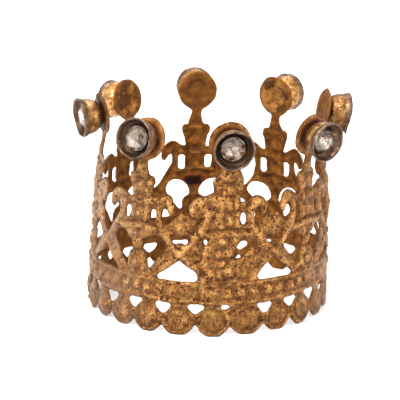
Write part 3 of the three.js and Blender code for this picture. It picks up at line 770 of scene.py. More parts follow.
def edge_ways(flat, rims):
    """At each corner of the outline, the way out of the metal in the flat drawing."""
    ways = np.zeros((len(flat), 2))
    for a, b in rims:
        run = (flat[b, 0] - flat[a, 0] + GIRTH / 2) % GIRTH - GIRTH / 2
        rise = flat[b, 1] - flat[a, 1]
        for corner in (a, b):
            ways[corner] += (rise, -run)
    sizes = np.hypot(ways[:, 0], ways[:, 1])
    return ways / np.where(sizes > 0, sizes, 1)[:, None]


def disc_finishes(x, z):
    """How far each place is dark round its cup, blackening with a painted shadow of the cup, and how
    far it is on an orange disc, partly a painted highlight, on a bright or on the brown disc.
    """
    point = np.mod(np.round(x / REPEAT), POINTS)
    distance = disc_distance(x, z)
    on_disc = smooth_step(*DISC_FINISH, distance)
    chosen = (np.isin(point, ORANGE_HIGHLIGHT_DISCS), np.isin(point, BRIGHT_DISCS), point == BROWN_DISC)
    return smooth_step(*DISC_SOOT_AND_SHADOW, distance), *(on_disc * discs for discs in chosen)


def crown_band_mesh():
    """The whole strip, with its thickness and rounded edges, set in the frame."""
    sizes = crown_sizes()
    sheet = sizes.strip_thickness / MM
    inside, corner, right, up, flat = strip_corners(*strip_fields())
    faces, rims = strip_faces(inside, corner, right, up)
    ways = edge_ways(flat, rims)
    x, z, height, inward, lap, hollow, pitting = flat.T
    rounding = EDGE_ROUNDING * np.clip(1 - inward / EDGE_WIDTH, 0, 1) ** 2
    soot_and_cup_shadow_share, orange, bright, brown = disc_finishes(x, z)
    on_rim = sorted({corner for pair in rims for corner in pair})
    middles = {corner: 2 * len(flat) + place for place, corner in enumerate(on_rim)}
    rim = np.array(on_rim)

    # The skin is pitted in front and smooth behind
    front = (x, z, height + pitting - rounding)
    back = (x, z, height - sheet - LAP_BEHIND * lap + rounding)
    low = np.maximum(z[rim] + EDGE_SWELL * ways[rim, 1], OVER_FLOOR)
    middle = (x[rim] + EDGE_SWELL * ways[rim, 0], low, height[rim] - sheet / 2)
    all_x, all_z, all_depth = (np.concatenate(parts) for parts in zip(front, back, middle))
    points = np.round(np.concatenate([x, x, x[rim]]) / REPEAT)
    places = set_in_frame(points, all_x, all_z, all_depth)
    places[:, 2] = np.maximum(places[:, 2], 0)

    behind = len(flat)
    all_faces = list(faces)
    all_faces += [[corner + behind for corner in reversed(face)] for face in faces]
    for a, b in rims:
        all_faces.append([b, a, middles[a], middles[b]])
        all_faces.append([middles[b], middles[a], a + behind, b + behind])
    mesh = bpy.data.meshes.new("crown_band_skin")
    mesh.from_pydata(places.tolist(), [], all_faces)

    # Values for the material, each for the front, the back and the edge
    none, none_at_rim = np.zeros(behind), np.zeros(len(rim))
    attributes = {
        "inside": (none, none + 1, none_at_rim + 0.5),
        # Cavity for patina and painted shade in the hollows, and a painted highlight on what stands out
        "hollow": (hollow, -hollow, hollow[rim]),
        # Blackening round the solder with the cup's painted shadow on its disc, and orange gilding with a
        # painted highlight on the rims of the front discs
        "soot_and_cup_shadow_share": (soot_and_cup_shadow_share, none, none_at_rim),
        "orange_and_highlight_disc": (orange, none, orange[rim]),
        "bright_disc": (none, bright, none_at_rim),
        "brown_disc": (none, brown, none_at_rim),
        "inward": (inward, inward, inward[rim]),
    }
    for name, parts in attributes.items():
        layer = mesh.attributes.new(name, "FLOAT", "POINT")
        layer.data.foreach_set("value", np.concatenate(parts).astype(np.float32))
    mesh.validate()
    mesh.update()
    return mesh


def nothing_selected():
    if bpy.context.mode != "OBJECT":
        bpy.ops.object.mode_set(mode="OBJECT")
    bpy.ops.object.select_all(action="DESELECT")


def place_in_mesh(piece, matrix):
    """Puts a piece's place into its mesh, so that its object stays at the origin."""
    piece.data.transform(matrix)
    piece.data.update()
    piece.matrix_world = Matrix.Identity(4)


class Shading:
    """Adds nodes to a material or a node group. A value given may be a number, a colour or a socket."""

    def __init__(self, tree):
        self.nodes = tree.nodes
        self.links = tree.links

    def feed(self, socket, value):
        if isinstance(value, bpy.types.NodeSocket):
            self.links.new(value, socket)
        elif isinstance(value, (int, float)):
            socket.default_value = value
        else:
            socket.default_value = (*value, 1)

    def calculated(self, operation, one, other=0):
        node = self.nodes.new("ShaderNodeMath")
        node.operation = operation
        self.feed(node.inputs[0], one)
        self.feed(node.inputs[1], other)
        return node.outputs[0]

    def plus(self, one, other):
        return self.calculated("ADD", one, other)

    def minus(self, one, other):
        return self.calculated("SUBTRACT", one, other)

    def times(self, one, other):
        return self.calculated("MULTIPLY", one, other)

    def mixed(self, share, under, over):
        """One colour covered by another as far as the share says."""
        mix = self.nodes.new("ShaderNodeMix")
        mix.data_type = "RGBA"
        self.feed(mix.inputs[0], share)
        self.feed(mix.inputs[6], under)
        self.feed(mix.inputs[7], over)
        return mix.outputs[2]

    def ramp(self, value, *stops):
        """Colours at their stops, read at the value."""
        node = self.nodes.new("ShaderNodeValToRGB")
        elements = node.color_ramp.elements
        while len(elements) < len(stops):
            elements.new(0.5)
        for element, (position, stop) in zip(elements, stops):
            element.position = position
            element.color = (*stop, 1)
        self.links.new(value, node.inputs["Fac"])
        return node.outputs["Color"]

    def ranged(self, value, start, end, first=0.0, last=1.0, soft=False):
        """Runs from first to last while the value runs from start to end, and keeps to them."""
        node = self.nodes.new("ShaderNodeMapRange")
        if soft:
            node.interpolation_type = "SMOOTHSTEP"
        for name, number in (("From Min", start), ("From Max", end), ("To Min", first), ("To Max", last)):
            node.inputs[name].default_value = number
        self.links.new(value, node.inputs["Value"])
        return node.outputs["Result"]

    def noise(self, vector, scale, detail=3.0, rough=0.55):
        node = self.nodes.new("ShaderNodeTexNoise")
        self.feed(node.inputs["Scale"], scale)
        node.inputs["Detail"].default_value = detail
        node.inputs["Roughness"].default_value = rough
        self.links.new(vector, node.inputs["Vector"])
        return node.outputs["Fac"]

    def cells(self, vector, scale):
        node = self.nodes.new("ShaderNodeTexVoronoi")
        node.inputs["Scale"].default_value = scale
        self.links.new(vector, node.inputs["Vector"])
        return node.outputs

    def vector_sum(self, operation, vector, fixed):
        node = self.nodes.new("ShaderNodeVectorMath")
        node.operation = operation
        self.links.new(vector, node.inputs[0])
        node.inputs[1].default_value = fixed
        return node.outputs

    def millimetres(self):
        """Object coordinates in mm."""
        coordinates = self.nodes.new("ShaderNodeTexCoord")
        mapping = self.nodes.new("ShaderNodeMapping")
        mapping.inputs["Scale"].default_value = (1 / MM, 1 / MM, 1 / MM)
        self.links.new(coordinates.outputs["Object"], mapping.inputs["Vector"])
        return mapping.outputs["Vector"]

    def axes(self, vector):
        node = self.nodes.new("ShaderNodeSeparateXYZ")
        self.links.new(vector, node.inputs["Vector"])
        return node.outputs

    def attribute(self, name):
        node = self.nodes.new("ShaderNodeAttribute")
        node.attribute_name = name
        return node.outputs["Fac"]

    def corroded_skin(self, vector, size_name, size):
        """The shared skin, with one of its sizes set for this material."""
        node = self.nodes.new("ShaderNodeGroup")
        node.node_tree = corroded_skin_group()
        self.links.new(vector, node.inputs["Vector"])
        node.inputs[size_name].default_value = size
        return node.outputs

    def bumped(self, height, strength, depth):
        node = self.nodes.new("ShaderNodeBump")
        node.inputs["Strength"].default_value = strength
        node.inputs["Distance"].default_value = depth
        self.links.new(height, node.inputs["Height"])
        return node.outputs["Normal"]

    def surface(self, colour_given, metallic, rough, normal=None):
        shader = self.nodes.new("ShaderNodeBsdfPrincipled")
        self.feed(shader.inputs["Base Color"], colour_given)
        shader.inputs["Metallic"].default_value = metallic
        self.feed(shader.inputs["Roughness"], rough)
        if normal is not None:
            self.links.new(normal, shader.inputs["Normal"])
        output = self.nodes.new("ShaderNodeOutputMaterial")
        self.links.new(shader.outputs["BSDF"], output.inputs["Surface"])
        return shader


def new_material(name):
    material = bpy.data.materials.new(name)
    material.use_nodes = True
    material.node_tree.nodes.clear()
    return material, Shading(material.node_tree)


def shared_material(maker, name):
    return bpy.data.materials.get(name) or maker()


def grey(value):
    return (value, value, value)


SKIN_SIZES = (("Grain", 3.2), ("Pit Size", 1.5), ("Mottle Size", 0.55))
SKIN_SKEW = (0.62, 0.37, 0.91)
SPECK_SCALE = 3.4


def corroded_skin_group():
    """Shared effect: the pitted, mottled skin of old plated brass."""
    if "corroded skin" in bpy.data.node_groups:
        return bpy.data.node_groups["corroded skin"]
    group = bpy.data.node_groups.new("corroded skin", "ShaderNodeTree")
    face = group.interface
    face.new_socket("Vector", in_out="INPUT", socket_type="NodeSocketVector")
    for name, value in SKIN_SIZES:
        face.new_socket(name, in_out="INPUT", socket_type="NodeSocketFloat").default_value = value
    for name in ("Height", "Pits", "Mottle", "Speckle"):
        face.new_socket(name, in_out="OUTPUT", socket_type="NodeSocketFloat")
    shading = Shading(group)
    entry, leave = shading.nodes.new("NodeGroupInput"), shading.nodes.new("NodeGroupOutput")
    skewed = shading.nodes.new("ShaderNodeMapping")
    skewed.inputs["Rotation"].default_value = SKIN_SKEW
    shading.links.new(entry.outputs["Vector"], skewed.inputs["Vector"])
    vector = skewed.outputs["Vector"]
    grain = shading.noise(vector, entry.outputs["Grain"], 4, 0.65)
    pits = shading.ranged(
        shading.noise(vector, entry.outputs["Pit Size"], 3, 0.6), 0.56, 0.66, soft=True)
    mottle = shading.noise(vector, entry.outputs["Mottle Size"], 4, 0.6)
    specks = shading.ranged(shading.cells(vector, SPECK_SCALE)["Distance"], 0.3, 0.05, soft=True)
    speckle = shading.times(specks, shading.ranged(mottle, 0.45, 0.6))
    height = shading.minus(shading.plus(grain, shading.times(pits, -0.6)), speckle)
    for name, value in (("Height", height), ("Pits", pits), ("Mottle", mottle), ("Speckle", speckle)):
        shading.links.new(value, leave.inputs[name])
    return group


GLASS_IOR = 1.54

# Where the colour changes, in mm: pairs of the place where a change starts and where it is full.
# Darker towards the bottom of the foot; at the sides a painted sheen over partly bare brass, paler
# high on the left
DARKER_FOOT = (5.0, 3.0)
SHEEN_SIDEWAYS = (13, 24)
SHEEN_BELOW_DISCS = (35, 32)
PALER_SHEEN_LEFTWARDS = (-18, -23)
PALER_SHEEN_UPWARDS = (12, 20)

# The residue inside the back point: its height, how much it is flattened, how far out from the
# disc's middle and to the left it sits, and the reach of its core and of its halo
RESIDUE_POINT = 4
RESIDUE_HEIGHT = 18.95
RESIDUE_FLATTENED = 1.9
RESIDUE_OUT = 1.03
RESIDUE_LEFT = 0.6
RESIDUE_CORE = (3.35, 2.35)
RESIDUE_HALO = (4.7, 3.0)


def outer_gilding(shading, vector, skin, worn):
    """Gilding rubbed bright on what stands out and browner in hollows, both helped by painted
    highlight and shade, with dull olive patches. Painted shade darkens the very edges of the metal
    and a painted highlight lies just inside them.
    """
    finish = finishes()
    # rubbed: painted shade darkens the very edge of the metal, and a painted highlight lightens it just
    # inside
    rubbed = shading.ramp(
        shading.attribute("inward"),
        (0.0, grey(0.34)), (0.09, grey(0.42)), (0.2, grey(0.58)), (0.42, grey(0.5)))
    tone = shading.plus(skin["Mottle"], worn)
    tone = shading.plus(tone, shading.minus(rubbed, 0.5))
    fine = shading.times(shading.minus(skin["Height"], 0.45), 1.1)
    grain = shading.times(shading.minus(shading.noise(vector, 2.6, 3, 0.7), 0.5), 0.65)
    fine = shading.plus(fine, grain)
    darker = shading.ranged(shading.axes(vector)["Z"], *DARKER_FOOT, last=0.06)
    fine = shading.minus(fine, darker)
    gilding = shading.ramp(
        shading.plus(tone, fine),
        (0.1, finish.brass_dark), (0.34, finish.brass_low), (0.52, finish.brass_mid),
        (0.7, finish.brass_light), (0.95, finish.brass_rubbed))
    olive = shading.ranged(shading.noise(vector, 0.33, 3, 0.6), 0.55, 0.7, last=0.45)
    return shading.mixed(olive, gilding, finish.verdigris)


def inner_gilding(shading, skin, worn):
    finish = finishes()
    # worn carries patina and painted shade in the hollows, here at about a third of its strength
    tone = shading.plus(skin["Mottle"], shading.times(worn, 0.35))
    return shading.ramp(
        tone, (0.14, finish.brass_dark), (0.33, finish.brass_low), (0.5, finish.brass_inside),
        (0.76, finish.inside_light))


def with_dirt(shading, skin, inside, base):
    """Dark pits and specks, more of them outside than inside."""
    dirt = shading.times(skin["Pits"], 0.4)
    dirt = shading.calculated("MAXIMUM", dirt, skin["Speckle"])
    dirt = shading.times(dirt, shading.minus(1.15, inside))
    dirt = shading.calculated("MINIMUM", dirt, 0.24)
    return shading.mixed(dirt, base, finishes().brass_dark)


def with_disc_colours(shading, vector, mottle, base):
    """The discs: kept gilding under stains, plain brown, rubbed orange that is partly a painted
    highlight, and blackening with a painted shadow of the cup by the solder.
    """
    finish = finishes()
    stains = shading.ramp(
        shading.noise(vector, 0.36, 3, 0.55),
        (0.47, finish.brass_dark), (0.53, finish.brass_inside), (0.64, finish.disc_bright))
    base = shading.mixed(shading.times(shading.attribute("bright_disc"), 0.8), base, stains)
    browned = shading.times(shading.attribute("brown_disc"), 0.45)
    base = shading.mixed(browned, base, finish.disc_brown)
    # Orange gilding, partly a painted highlight on the rims of the front discs
    orange = shading.times(shading.attribute("orange_and_highlight_disc"), shading.plus(mottle, 0.25))
    base = shading.mixed(orange, base, finish.disc_orange_and_highlight)
    # Dark round each cup: blackening by the solder and a painted shadow of the cup on its disc
    soot_and_cup_shadow = shading.times(shading.attribute("soot_and_cup_shadow_share"), shading.plus(mottle, 0.45))
    return shading.mixed(soot_and_cup_shadow, base, finish.soot_and_cup_shadow)


def with_side_sheen_and_wear(shading, vector, inside, base):
    """Outside, the two sides as the camera sees them are painted greyer as a sheen of grazing light,
    over brass that has lost some gilding, and the left is palest high up.
    """
    finish = finishes()
    axes = shading.axes(vector)
    sideways = shading.ranged(shading.calculated("ABSOLUTE", axes["X"]), *SHEEN_SIDEWAYS, soft=True)
    patchy = shading.ranged(shading.noise(vector, 0.9, 4, 0.7), 0.38, 0.66, last=0.85)
    share = shading.times(sideways, patchy)
    share = shading.times(share, shading.minus(1, inside))
    share = shading.times(share, shading.ranged(axes["Z"], *SHEEN_BELOW_DISCS))
    # Where the painted sheen is paler, high on the left
    pale = shading.times(
        shading.ranged(axes["X"], *PALER_SHEEN_LEFTWARDS), shading.ranged(axes["Z"], *PALER_SHEEN_UPWARDS))
    return shading.mixed(share, base, shading.mixed(pale, finish.side_sheen_and_wear, finish.left_sheen_and_wear))


def with_residue(shading, vector, inside, base):
    """The dark red residue inside the back point, and its orange halo."""
    finish = finishes()
    spot = (disc_matrix(RESIDUE_POINT).translation + crown_shift()) / MM
    middle = (
        spot.x * RESIDUE_OUT - RESIDUE_LEFT, spot.y * RESIDUE_OUT, RESIDUE_HEIGHT * RESIDUE_FLATTENED)
    flattened = shading.vector_sum("MULTIPLY", vector, (1, 1, RESIDUE_FLATTENED))["Vector"]
    distance = shading.vector_sum("DISTANCE", flattened, middle)["Value"]
    ragged = shading.plus(distance, shading.times(shading.noise(vector, 1.1), 1.6))
    halo = shading.times(shading.ranged(ragged, *RESIDUE_HALO, last=0.8), inside)
    core = shading.times(shading.ranged(ragged, *RESIDUE_CORE), inside)
    base = shading.mixed(halo, base, finish.residue_halo)
    return shading.mixed(core, base, finish.residue)


def gilt_brass_material():
    material, shading = new_material("aged gilt brass")
    vector = shading.millimetres()
    skin = shading.corroded_skin(vector, "Pit Size", 1.3)
    mottle = skin["Mottle"]
    inside = shading.attribute("inside")
    # worn: patina and painted shade darken the hollows and steps, and a painted highlight lightens what
    # stands out
    worn = shading.ranged(shading.attribute("hollow"), -0.25, 0.25, first=0.15, last=-0.2)
    base = shading.mixed(
        inside, outer_gilding(shading, vector, skin, worn), inner_gilding(shading, skin, worn))
    base = with_dirt(shading, skin, inside, base)
    base = with_disc_colours(shading, vector, mottle, base)
    base = with_side_sheen_and_wear(shading, vector, inside, base)
    base = with_residue(shading, vector, inside, base)
    normal = shading.bumped(skin["Height"], 0.8, 0.3 * MM)
    rough = shading.ramp(mottle, (0.35, grey(0.62)), (0.65, grey(0.4)))
    shading.surface(base, 0.8, rough, normal)
    return material


def tinned_material():
    """Gilding low on the cups, worn tin towards their rims."""
    finish = finishes()
    material, shading = new_material("tinned cup")
    skin = shading.corroded_skin(shading.millimetres(), "Mottle Size", 0.8)
    mottle = skin["Mottle"]
    gilding = shading.ramp(
        mottle, (0.26, finish.brass_dark), (0.36, finish.brass_mid), (0.46, finish.brass_light),
        (0.62, finish.cup_bright))
    dulled = shading.times(shading.attribute("tarnish"), shading.minus(1.3, mottle))
    gilded = shading.mixed(dulled, gilding, finish.brass_low)
    tin = shading.ramp(mottle, (0.32, finish.tin_dark), (0.6, finish.tin_light))
    uneven = shading.plus(shading.attribute("tinned"), shading.times(mottle, 0.8))
    base = shading.mixed(shading.ranged(uneven, 0.75, 1.0), gilded, tin)
    # Round the stone: tarnished tin, darkened further as a painted shadow inside the cup
    base = shading.mixed(shading.attribute("well"), base, finish.tin_well)
    base = shading.mixed(shading.times(skin["Pits"], 0.6), base, finish.tin_dark)
    normal = shading.bumped(skin["Height"], 0.4, 0.2 * MM)
    rough = shading.ramp(mottle, (0.35, grey(0.45)), (0.65, grey(0.22)))
    shading.surface(base, 0.88, rough, normal)
    return material


def glass_material():
    finish = finishes()
    material, shading = new_material("cut glass")
    vector = shading.millimetres()
    haze = shading.ramp(
        shading.noise(vector, 0.9), (0.35, finish.glass_clear), (0.75, finish.glass_yellowed))
    rough = shading.ramp(shading.noise(vector, 2.2), (0.4, grey(0.02)), (0.8, grey(0.12)))
    shader = shading.surface(haze, 0.0, rough)
    shader.inputs["Transmission Weight"].default_value = 1.0
    shader.inputs["IOR"].default_value = GLASS_IOR
    return material


def foil_material():
    """Crinkled foil that has stained and in places gone."""
    finish = finishes()
    material, shading = new_material("aged foil")
    vector = shading.millimetres()
    crinkled = shading.times(shading.cells(vector, 1.15)["Color"], 0.6)
    crinkled = shading.plus(crinkled, shading.times(shading.noise(vector, 1.6, 3, 0.6), 0.5))
    stains = shading.ramp(
        crinkled, (0.34, finish.foil_dark), (0.45, finish.foil_amber), (0.54, finish.foil_grey),
        (0.67, finish.foil_silver), (0.86, finish.foil_white))
    normal = shading.bumped(shading.noise(vector, 2.5), 0.5, 0.2 * MM)
    shading.surface(stains, 0.9, 0.3, normal)
    return material


def turned_shape(name, rings, sides):
    """A body raised ring by ring from a circle: each is extruded and drawn in or out. Its two ends
    are closed to a point in their middles."""
    nothing_selected()
    first_radius, first_height = rings[0]
    bpy.ops.mesh.primitive_circle_add(
        vertices=sides, radius=first_radius * MM, fill_type="NOTHING", location=(0, 0, first_height * MM))
    piece = bpy.context.object
    piece.name = name
    bpy.ops.object.transform_apply(location=True, rotation=True, scale=True)
    bpy.ops.object.mode_set(mode="EDIT")
    bpy.ops.mesh.select_all(action="SELECT")
    radius, height = first_radius, first_height
    for next_radius, next_height in rings[1:]:
        bpy.ops.mesh.extrude_region_move(
            TRANSFORM_OT_translate={"value": (0, 0, (next_height - height) * MM)})
        share = next_radius / radius
        bpy.ops.transform.resize(value=(share, share, 1), center_override=(0, 0, next_height * MM))
        radius, height = next_radius, next_height
    bpy.ops.mesh.merge(type="CENTER")
    bpy.ops.object.mode_set(mode="OBJECT")
    for vertex in piece.data.vertices:
        level = abs(vertex.co.z - first_height * MM) < SAME_PLACE
        vertex.select = level and abs(vertex.co.xy.length - first_radius * MM) < SAME_PLACE
    bpy.ops.object.mode_set(mode="EDIT")
    bpy.ops.mesh.select_mode(type="VERT")
    bpy.ops.mesh.extrude_region_move(TRANSFORM_OT_translate={"value": (0, 0, 0)})
    bpy.ops.mesh.merge(type="CENTER")
    bpy.ops.mesh.select_all(action="SELECT")
    bpy.ops.mesh.remove_doubles(threshold=MERGED)
    bpy.ops.mesh.normals_make_consistent(inside=False)
    bpy.ops.object.mode_set(mode="OBJECT")
    return piece


CUP_SIDES = 56

# Radius and height of each ring, out from the base, over the rim and down into the well
CUP_RINGS = [
    (2.3, 0.0), (2.42, 0.08), (2.75, 0.4), (3.15, 0.95), (3.42, 1.5), (3.6, 2.1), (3.68, 2.6),
    (3.66, 2.95), (3.74, 3.15), (3.93, 3.45), (4.05, 3.85), (4.1, 4.15), (4.04, 4.34), (3.9, 4.4),
    (3.75, 4.33), (3.65, 4.12), (3.52, 3.75), (3.32, 3.35), (2.95, 3.0), (2.65, 2.8), (2.3, 2.3),
    (1.5, 1.6), (0.6, 1.5),
]
# How far each ring is tinned and how far it is dark with tarnish and painted shade round the stone
RING_TIN = [0.0] * 6 + [0.1, 0.3, 0.5, 0.75, 0.95] + [1.0] * 12
RING_WELL_TARNISH_AND_SHADE = [0.0] * 14 + [0.1, 0.45, 0.85] + [1.0] * 6
# Waves that make a rim no longer round: how deep, how many round the cup, and how far turned
RIM_WAVES = ((0.012, 3, 0.6), (0.008, 7, 2), (0.006, 13, 0))
RIM_RISE = (0.05, 5, 1)


def worn_cup_mesh():
    """A spun cup with a rolled rim that is no longer quite round."""
    sizes = crown_sizes()
    radius_scale = sizes.cup_rim_radius / MM / max(radius for radius, _ in CUP_RINGS)
    depth_scale = sizes.cup_depth / MM / max(height for _, height in CUP_RINGS)
    rings = [(radius * radius_scale, height * depth_scale) for radius, height in CUP_RINGS]
    piece = turned_shape("cup pattern", rings, CUP_SIDES)
    mesh = piece.data
    tinned = mesh.attributes.new("tinned", "FLOAT", "POINT")
    well = mesh.attributes.new("well", "FLOAT", "POINT")
    top = sizes.cup_depth / MM
    for number, vertex in enumerate(mesh.vertices):
        spot = (math.hypot(vertex.co.x, vertex.co.y) / MM, vertex.co.z / MM)
        ring = min(range(len(rings)), key=lambda k: math.dist(rings[k], spot))
        tinned.data[number].value = RING_TIN[ring]
        well.data[number].value = RING_WELL_TARNISH_AND_SHADE[ring]
        turn = math.atan2(vertex.co.y, vertex.co.x)
        share = max(0.0, spot[1] / top) ** 2
        dent = sum(depth * math.sin(count * turn + start) for depth, count, start in RIM_WAVES)
        vertex.co.x *= 1 + dent * share
        vertex.co.y *= 1 + dent * share
        rise, count, start = RIM_RISE
        vertex.co.z += rise * MM * math.sin(count * turn + start) * share
    mesh.update()
    return piece


# How dark each cup's gilding has gone, and how far the tarnish and painted shade round its stone
# reach; the lit cup of the second point has little painted shade
CUP_TARNISH = (0.5, 0.45, 0.85, 0.3, 0.2, 0.05, 0.6, 0.6)
CUP_WELL_SHADE = (1.0, 0.25, 1.0, 1.0, 1.0, 1.0, 1.0, 0.9)


def worn_by_point(mesh, point):
    """Gives a copied cup the tarnish of its own point, and scales the painted shade round its stone."""
    well = mesh.attributes["well"].data
    tarnish = mesh.attributes.new("tarnish", "FLOAT", "POINT").data
    for value, dulled in zip(well, tarnish):
        value.value *= CUP_WELL_SHADE[point]
        dulled.value = CUP_TARNISH[point]


# A drop of solder has set under the rim of one cup, a little way round from its lowest place
DRIP_POINT = 2
DRIP_LENGTH = 1.0
DRIP_WIDTH = 0.45
DRIP_SLANT = 0.9


def drip_pulled_down(mesh):
    """Pulls the metal round one place on a rim straight down."""
    lowest = min(mesh.vertices, key=lambda vertex: vertex.co.z + DRIP_SLANT * vertex.co.y).co.copy()
    for vertex in mesh.vertices:
        share = math.exp(-((vertex.co - lowest).length / MM / DRIP_WIDTH) ** 2)
        vertex.co.z -= DRIP_LENGTH * MM * share
    mesh.update()


STONE_SIDES = 8
STONE_ROUND = 48
GIRDLE_SHARE = 0.64
GIRDLE_EDGE = 0.15
TABLE_SHARE = 0.56
# The small facets at the girdle and at the table lean by so much from the main ones, in radians
GIRDLE_FACET_LEAN = 0.16
TABLE_FACET_LEAN = 0.26
BACK_FACET_LEAN = 0.09
GIRDLE_FACET_REACH = 0.995
TABLE_FACET_REACH = 1.1
TABLE_FACET_DROP = 0.02
FLAT_ENOUGH = math.radians(0.5)
# How far a stone's back lies over the base of its cup, and each piece's turn from point to point
STONE_SEAT = 1.9
STONE_TURN, STONE_TURN_STEP = 0.37, 1.1
CUP_TURN_STEP = 0.7


def cut_stone_mesh():
    """A round brilliant: a short cylinder with every facet cut by a plane."""
    sizes = crown_sizes()
    radius, height = sizes.stone_radius, sizes.stone_height
    girdle = height * GIRDLE_SHARE
    nothing_selected()
    bpy.ops.mesh.primitive_cylinder_add(
        vertices=STONE_ROUND, radius=radius, depth=height, location=(0, 0, height / 2))
    piece = bpy.context.object
    bpy.ops.object.transform_apply(location=True, rotation=True, scale=True)
    bpy.ops.object.mode_set(mode="EDIT")

    def cut(turn, slope, distance, level):
        """Cuts off what lies beyond a plane that leans in by slope from the upright."""
        bpy.ops.mesh.select_all(action="SELECT")
        way = Vector((math.cos(turn) * math.cos(slope), math.sin(turn) * math.cos(slope), math.sin(slope)))
        spot = Vector((math.cos(turn) * distance, math.sin(turn) * distance, level))
        bpy.ops.mesh.bisect(plane_co=spot, plane_no=way, use_fill=True, clear_outer=True)

    table = radius * TABLE_SHARE
    main_slope = math.pi / 2 - math.atan2(height - girdle, radius - table)
    edge = 2 * math.pi / STONE_SIDES
    near_girdle = radius * GIRDLE_FACET_REACH
    for side in range(STONE_SIDES):
        cut(side * edge, main_slope, radius, girdle)
    for side in range(2 * STONE_SIDES):
        cut((side + 0.5) * edge / 2, main_slope - GIRDLE_FACET_LEAN, near_girdle, girdle)
    near_table = height - TABLE_FACET_DROP * MM
    for side in range(STONE_SIDES):
        cut((side + 0.5) * edge, main_slope + TABLE_FACET_LEAN, table * TABLE_FACET_REACH, near_table)
    under_girdle = girdle - GIRDLE_EDGE * MM
    back_slope = -(math.pi / 2 - math.atan2(under_girdle, radius))
    for side in range(STONE_SIDES):
        cut((side + 0.5) * edge, back_slope, radius, under_girdle)
    for side in range(2 * STONE_SIDES):
        cut((side + 0.5) * edge / 2, back_slope + BACK_FACET_LEAN, near_girdle, under_girdle)
    bpy.ops.mesh.select_all(action="SELECT")
    bpy.ops.mesh.remove_doubles(threshold=MERGED)
    bpy.ops.mesh.dissolve_limited(angle_limit=FLAT_ENOUGH)
    bpy.ops.mesh.normals_make_consistent(inside=False)
    bpy.ops.object.mode_set(mode="OBJECT")
    return piece


def copied_on_point(pattern, name, point, out, turn):
    """A copy of a pattern piece, with its own mesh, set on a point's disc."""
    piece = pattern.copy()
    piece.data = pattern.data.copy()
    piece.name = name
    piece.data.name = name
    bpy.context.collection.objects.link(piece)
    place = Matrix.Translation(crown_shift()) @ disc_matrix(point)
    place = place @ Matrix.Translation((0, 0, out)) @ Matrix.Rotation(turn, 4, "Z")
    place_in_mesh(piece, place)
    return piece


class CROWN_OT_band(bpy.types.Operator):
    """Makes the pierced and pressed strip with its eight points and discs."""
    bl_idname = "crown.band"
    bl_label = "Pressed strip"

    def execute(self, context):
        nothing_selected()
        band = bpy.data.objects.new("pressed_strip", crown_band_mesh())
        context.collection.objects.link(band)
        context.view_layer.objects.active = band
        band.select_set(True)
        bpy.ops.object.shade_smooth_by_angle(angle=SMOOTH_ANGLE)
        band.data.materials.append(gilt_brass_material())
        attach(band, "root")
        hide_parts("crown_band")
        return {"FINISHED"}


class CROWN_OT_cups(bpy.types.Operator):
    """Makes the eight spun cups, each soldered to a disc."""
    bl_idname = "crown.cups"
    bl_label = "Stone cups"

    def execute(self, context):
        pattern = worn_cup_mesh()
        nothing_selected()
        pattern.select_set(True)
        context.view_layer.objects.active = pattern
        bpy.ops.object.shade_smooth_by_angle(angle=SMOOTH_ANGLE)
        pattern.data.materials.append(shared_material(tinned_material, "tinned cup"))
        for point in range(POINTS):
            name = f"spun_cup_{point + 1}"
            turn = CUP_TURN_STEP * point
            cup = copied_on_point(pattern, name, point, crown_sizes().cup_gap, turn)
            worn_by_point(cup.data, point)
            if point == DRIP_POINT:
                drip_pulled_down(cup.data)
            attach(cup, "root")
            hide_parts(f"stone_cup_{point + 1}")
        bpy.data.objects.remove(pattern)
        return {"FINISHED"}


class CROWN_OT_stones(bpy.types.Operator):
    """Cuts the eight foiled glass stones and sets them in their cups."""
    bl_idname = "crown.stones"
    bl_label = "Cut stones"

    def execute(self, context):
        pattern = cut_stone_mesh()
        pattern.data.materials.append(shared_material(glass_material, "cut glass"))
        pattern.data.materials.append(shared_material(foil_material, "aged foil"))
        for face in pattern.data.polygons:
            face.material_index = 1 if face.normal.z < -0.1 else 0
        for point in range(POINTS):
            name = f"cut_stone_{point + 1}"
            out = crown_sizes().cup_gap + STONE_SEAT * MM
            turn = STONE_TURN + STONE_TURN_STEP * point
            stone = copied_on_point(pattern, name, point, out, turn)
            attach(stone, "root")
            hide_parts(f"rhinestone_{point + 1}")
        bpy.data.objects.remove(pattern)
        return {"FINISHED"}


# The photograph's camera: round from -Y and up in degrees, distance and aim in mm, lens in mm
CAMERA_AZIMUTH = -8.701
CAMERA_ELEVATION = 16.156
CAMERA_ROLL = 0.447
CAMERA_DISTANCE = 401.363
CAMERA_CENTRE = (0, 0, 18)
CAMERA_SIDESTEP = -1.661
CAMERA_LIFT = 3.048
CAMERA_LENS = 173.08
CAMERA_SENSOR = 36

FLOOR_SIDE = 3
# Each light: its side in metres, its power in watts and its place; all aim at one spot
LIGHTS = {
    "key light": (0.22, 8.0, (-0.3, -0.38, 0.62)),
    "fill light": (0.5, 2.0, (0.55, -0.35, 0.35)),
    "top light": (0.4, 3.5, (0.05, 0.25, 0.7)),
}
LIGHTS_AIM = (0, 0, 0.02)


def soft_light(name, size, power, place):
    light = bpy.data.lights.new(name, "AREA")
    light.size = size
    light.energy = power
    lamp = bpy.data.objects.new(name, light)
    bpy.context.collection.objects.link(lamp)
    lamp.location = place
    lamp.rotation_euler = (Vector(LIGHTS_AIM) - Vector(place)).to_track_quat("-Z", "Y").to_euler()


